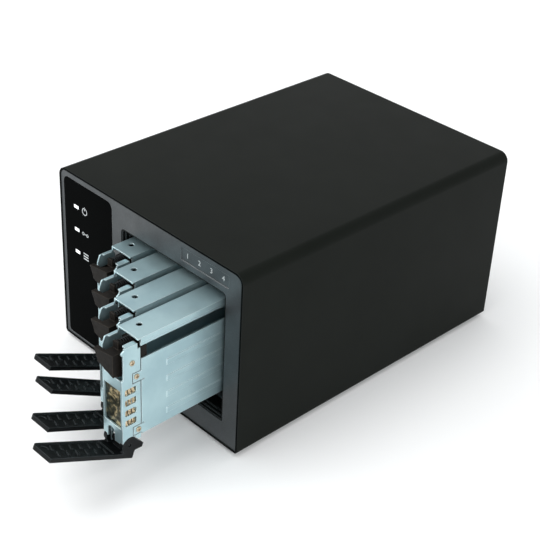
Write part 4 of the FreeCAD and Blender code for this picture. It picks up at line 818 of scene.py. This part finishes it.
@dataclass
class Tray:
    """One drive tray with its bracket, latch and lever.

    finger_mm holds a finger's thickness, width and height. grille_mm holds the first
    opening's place behind the bracket's front, its length, its height above the tray's
    floor, and the step between openings.
    """

    finishes: Finishes
    number: int
    sheet_mm: float = 1.0
    sheet_edge_mm: float = 0.25
    sheet_play_mm: float = 0.3
    latch_edge_mm: float = 0.35
    lever_edge_mm: float = 0.3
    press_mm: float = 2.0
    foil_right_gap_mm: float = 2.2
    foil_back_mm: float = 0.5
    foil_wave_mm: float = 0.9
    foil_wave_size_mm: float = 4.5
    foil_mm: float = 0.15
    foil_steps: tuple[int, int] = (22, 44)
    finger_rows: int = 4
    finger_columns: int = 3
    finger_mm: tuple[float, float, float] = (0.25, 2.3, 5.6)
    finger_tilt_deg: float = 15.0
    finger_back_mm: float = 0.7
    finger_rise: float = 0.36
    finger_edge_mm: float = 0.1
    grille_mm: tuple[float, float, float, float] = (2.3, 8.6, 10.9, 7.8)

    def build(self) -> None:
        """Make and dress every piece of the tray."""
        f = self.finishes
        tray = f"tray_{self.number}"
        dress(rounded_copy(f"{tray}_carrier", f"{tray}_carrier_sheet", self.sheet_edge_mm), f.zinc_steel)
        bracket = rounded_copy(f"{tray}_bracket", f"{tray}_bracket_sheet", self.sheet_edge_mm)
        dress(bracket, f.zinc_steel)
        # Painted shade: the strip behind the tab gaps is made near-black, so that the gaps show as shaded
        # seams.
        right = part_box(f"{tray}_bracket")[1].x
        paint_faces(bracket, f.painted_shade, Vector((1, 0, 0)),
                    (right - (self.sheet_mm + self.sheet_play_mm) * MM,
                     right - (self.sheet_mm - self.sheet_play_mm) * MM))
        dress(rounded_copy(f"{tray}_latch_housing", f"{tray}_latch_block", self.latch_edge_mm),
              f.latch_acetal)
        dress(rounded_copy(f"{tray}_latch_button", f"{tray}_latch_slider", self.latch_edge_mm),
              f.latch_acetal)
        dress(rounded_copy(f"{tray}_lever", f"{tray}_lever_arm", self.lever_edge_mm), f.lever_nylon)
        for node, material in (("lever_pin", f.bright_steel), ("screws", f.nickel)):
            dress(frame["nodes"][f"{tray}_{node}"], material)
        self.make_coil()
        self.make_foil()
        self.make_fingers()
        LOG.info("tray %d", self.number)

    def make_coil(self) -> None:
        """Latch spring: a black-oxide copy of its CAD node, with a mesh of its own."""
        node = f"tray_{self.number}_latch_spring"
        coil = rounded_copy(node, f"tray_{self.number}_latch_coil", 0.0)
        dress(coil, self.finishes.black_oxide)
        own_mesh(coil)

    def make_foil(self) -> None:
        """Crumpled bronze sheet behind the front window."""
        low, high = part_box(f"tray_{self.number}_shield")
        right = high.x - self.foil_right_gap_mm * MM
        deselect()
        middle = Vector(((low.x + right) / 2, low.y + self.foil_back_mm * MM,
                         (low.z + high.z) / 2))
        across, up = self.foil_steps
        bpy.ops.mesh.primitive_grid_add(x_subdivisions=across, y_subdivisions=up, size=1.0,
                                        location=middle, rotation=(math.pi / 2, 0.0, 0.0))
        foil = bpy.context.active_object
        foil.scale = (right - low.x, high.z - low.z, 1.0)
        bake_place(foil)
        waves = bpy.data.textures.new("foil_waves", "CLOUDS")
        waves.noise_scale = self.foil_wave_size_mm * MM
        waves.noise_depth = 1
        bulge = foil.modifiers.new("waves", "DISPLACE")
        bulge.texture = waves
        bulge.texture_coords = "LOCAL"
        bulge.direction = "Y"
        bulge.strength = self.foil_wave_mm * MM
        bpy.ops.object.modifier_apply(modifier=bulge.name)
        sheet = foil.modifiers.new("sheet", "SOLIDIFY")
        sheet.thickness = self.foil_mm * MM
        bpy.ops.object.modifier_apply(modifier=sheet.name)
        bpy.ops.object.shade_smooth_by_angle(angle=math.radians(FOIL_SMOOTH_DEG))
        foil.name = f"tray_{self.number}_foil"
        dress(foil, self.finishes.spring_bronze)
        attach(foil, f"tray_{self.number}")
        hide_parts(f"tray_{self.number}_shield")

    def make_fingers(self) -> None:
        """Leaning spring fingers behind the side grille."""
        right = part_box(f"tray_{self.number}_shield")[1].x - self.finger_back_mm * MM
        bracket_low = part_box(f"tray_{self.number}_bracket")[0]
        carrier_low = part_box(f"tray_{self.number}_carrier")[0]
        start, length, first, pitch = (v * MM for v in self.grille_mm)
        thick, wide, tall = (v * MM for v in self.finger_mm)
        step = length / self.finger_columns
        fingers = []
        for row in range(self.finger_rows):
            for column in range(self.finger_columns):
                place = Vector((right, bracket_low.y + start + (column + 0.5) * step,
                                carrier_low.z + first + row * pitch + tall * self.finger_rise))
                deselect()
                bpy.ops.mesh.primitive_cube_add(size=1.0, location=place)
                finger = bpy.context.active_object
                finger.scale = (thick, wide, tall)
                finger.rotation_euler = (0.0, math.radians(-self.finger_tilt_deg), 0.0)
                bake_place(finger)
                fingers.append(finger)
        piece = join(f"tray_{self.number}_fingers", fingers)
        finish_mesh(piece, self.finger_edge_mm)
        # painted highlight: the fingers get the pale, lit copy of the bronze
        dress(piece, self.finishes.lit_finger_bronze)
        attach(piece, f"tray_{self.number}")


# ------------------------------------------------------------------ studio
@dataclass(frozen=True)
class SoftBox:
    """Square area light: its name, place, the point that it faces, its side and its power."""

    name: str
    place: tuple[float, float, float]
    target: tuple[float, float, float]
    size_m: float
    watts: float

    def hang(self) -> None:
        """Add the light to the scene."""
        deselect()
        bpy.ops.object.light_add(type="AREA", location=self.place)
        light = bpy.context.active_object
        light.name = self.name
        light.data.size = self.size_m
        light.data.energy = self.watts
        away = Vector(self.target) - Vector(self.place)
        light.rotation_euler = away.to_track_quat("-Z", "Y").to_euler()


@dataclass
class Studio:
    """Pale floor, soft lights and the camera."""

    azimuth_deg: float = 44.726
    elevation_deg: float = 32.129
    roll_deg: float = 3.049
    distance_m: float = 0.923
    aim_m: tuple[float, float, float] = (0.01994, -0.03355, 0.072)
    lens_mm: float = 87.10
    floor_m: float = 8.0
    horizon_strength: float = 1.2
    zenith_strength: float = 0.8
    horizon_height: float = 0.05
    zenith_height: float = 0.75
    sensor_mm: float = 36.0
    near_m: float = 0.05
    boxes: tuple[SoftBox, ...] = (
        SoftBox("overhead", (-0.3, -0.5, 1.6), (0.0, -0.05, 0.0), 1.2, 12.0),
        SoftBox("left_front", (-1.1, -1.3, 0.9), (0.0, -0.1, 0.05), 1.0, 10.0),
        SoftBox("right_front", (1.6, -0.9, 1.0), (0.0, -0.1, 0.05), 1.0, 11.0))

    def build(self) -> None:
        """Set up the floor, the world, the lights and the camera."""
        self.make_floor()
        self.make_world()
        self.make_lights()
        self.make_camera()
        LOG.info("studio")

    def make_floor(self) -> None:
        """A wide pale floor at the feet."""
        deselect()
        bpy.ops.mesh.primitive_plane_add(size=self.floor_m, location=(0.0, 0.0, 0.0))
        floor = bpy.context.active_object
        floor.name = "studio_floor"
        dress(floor, Finish("floor_paper", "FAFBFB", "F7F8F8", roughness=(0.8, 0.9), patch_mm=900,
                            grain_mm=2.0, grain_depth_mm=0.01).make())

    def make_world(self) -> None:
        """Pale surroundings, dimmer overhead."""
        world = bpy.data.worlds.new("studio_world")
        world.use_nodes = True
        tree = world.node_tree
        background = tree.nodes["Background"]
        background.inputs["Color"].default_value = srgb("F6F7F8")
        direction = add_node(tree, "ShaderNodeTexCoord").outputs["Generated"]
        height = add_node(tree, "ShaderNodeSeparateXYZ", {}, {"Vector": direction})
        strength = add_node(tree, "ShaderNodeMapRange", {"interpolation_type": "SMOOTHSTEP"}, {
            "Value": height.outputs["Z"], "From Min": self.horizon_height,
            "From Max": self.zenith_height,
            "To Min": self.horizon_strength, "To Max": self.zenith_strength})
        tree.links.new(strength.outputs["Result"], background.inputs["Strength"])
        bpy.context.scene.world = world

    def make_lights(self) -> None:
        """Hang the soft boxes."""
        for box in self.boxes:
            box.hang()

    def make_camera(self) -> None:
        """Camera at its angle, with its small roll."""
        azimuth = math.radians(self.azimuth_deg)
        elevation = math.radians(self.elevation_deg)
        roll = math.radians(self.roll_deg)
        back = Vector((math.sin(azimuth) * math.cos(elevation), -math.cos(azimuth) * math.cos(elevation),
                       math.sin(elevation)))
        right = Vector((math.cos(azimuth), math.sin(azimuth), 0.0))
        up = back.cross(right)
        turned_right = right * math.cos(roll) + up * math.sin(roll)
        turned_up = up * math.cos(roll) - right * math.sin(roll)
        axes = Matrix((turned_right, turned_up, back)).transposed().to_4x4()
        data = bpy.data.cameras.new("studio_camera")
        data.lens = self.lens_mm
        data.sensor_width = self.sensor_mm
        data.clip_start = self.near_m
        camera = bpy.data.objects.new("studio_camera", data)
        bpy.context.scene.collection.objects.link(camera)
        camera.matrix_world = Matrix.Translation(Vector(self.aim_m) + back * self.distance_m) @ axes
        bpy.context.scene.camera = camera


def main() -> None:
    """Build everything in order."""
    logging.basicConfig(level=logging.INFO, format="%(name)s: %(message)s")
    finishes = Finishes()
    case = Case(finishes)
    case.build()
    case.dress_nodes()
    Front(finishes).build()
    for number in range(1, TRAY_COUNT + 1):
        Tray(finishes, number).build()
    Studio().build()
    bpy.context.scene.view_settings.view_transform = "Standard"


if __name__ == "__main__":
    main()
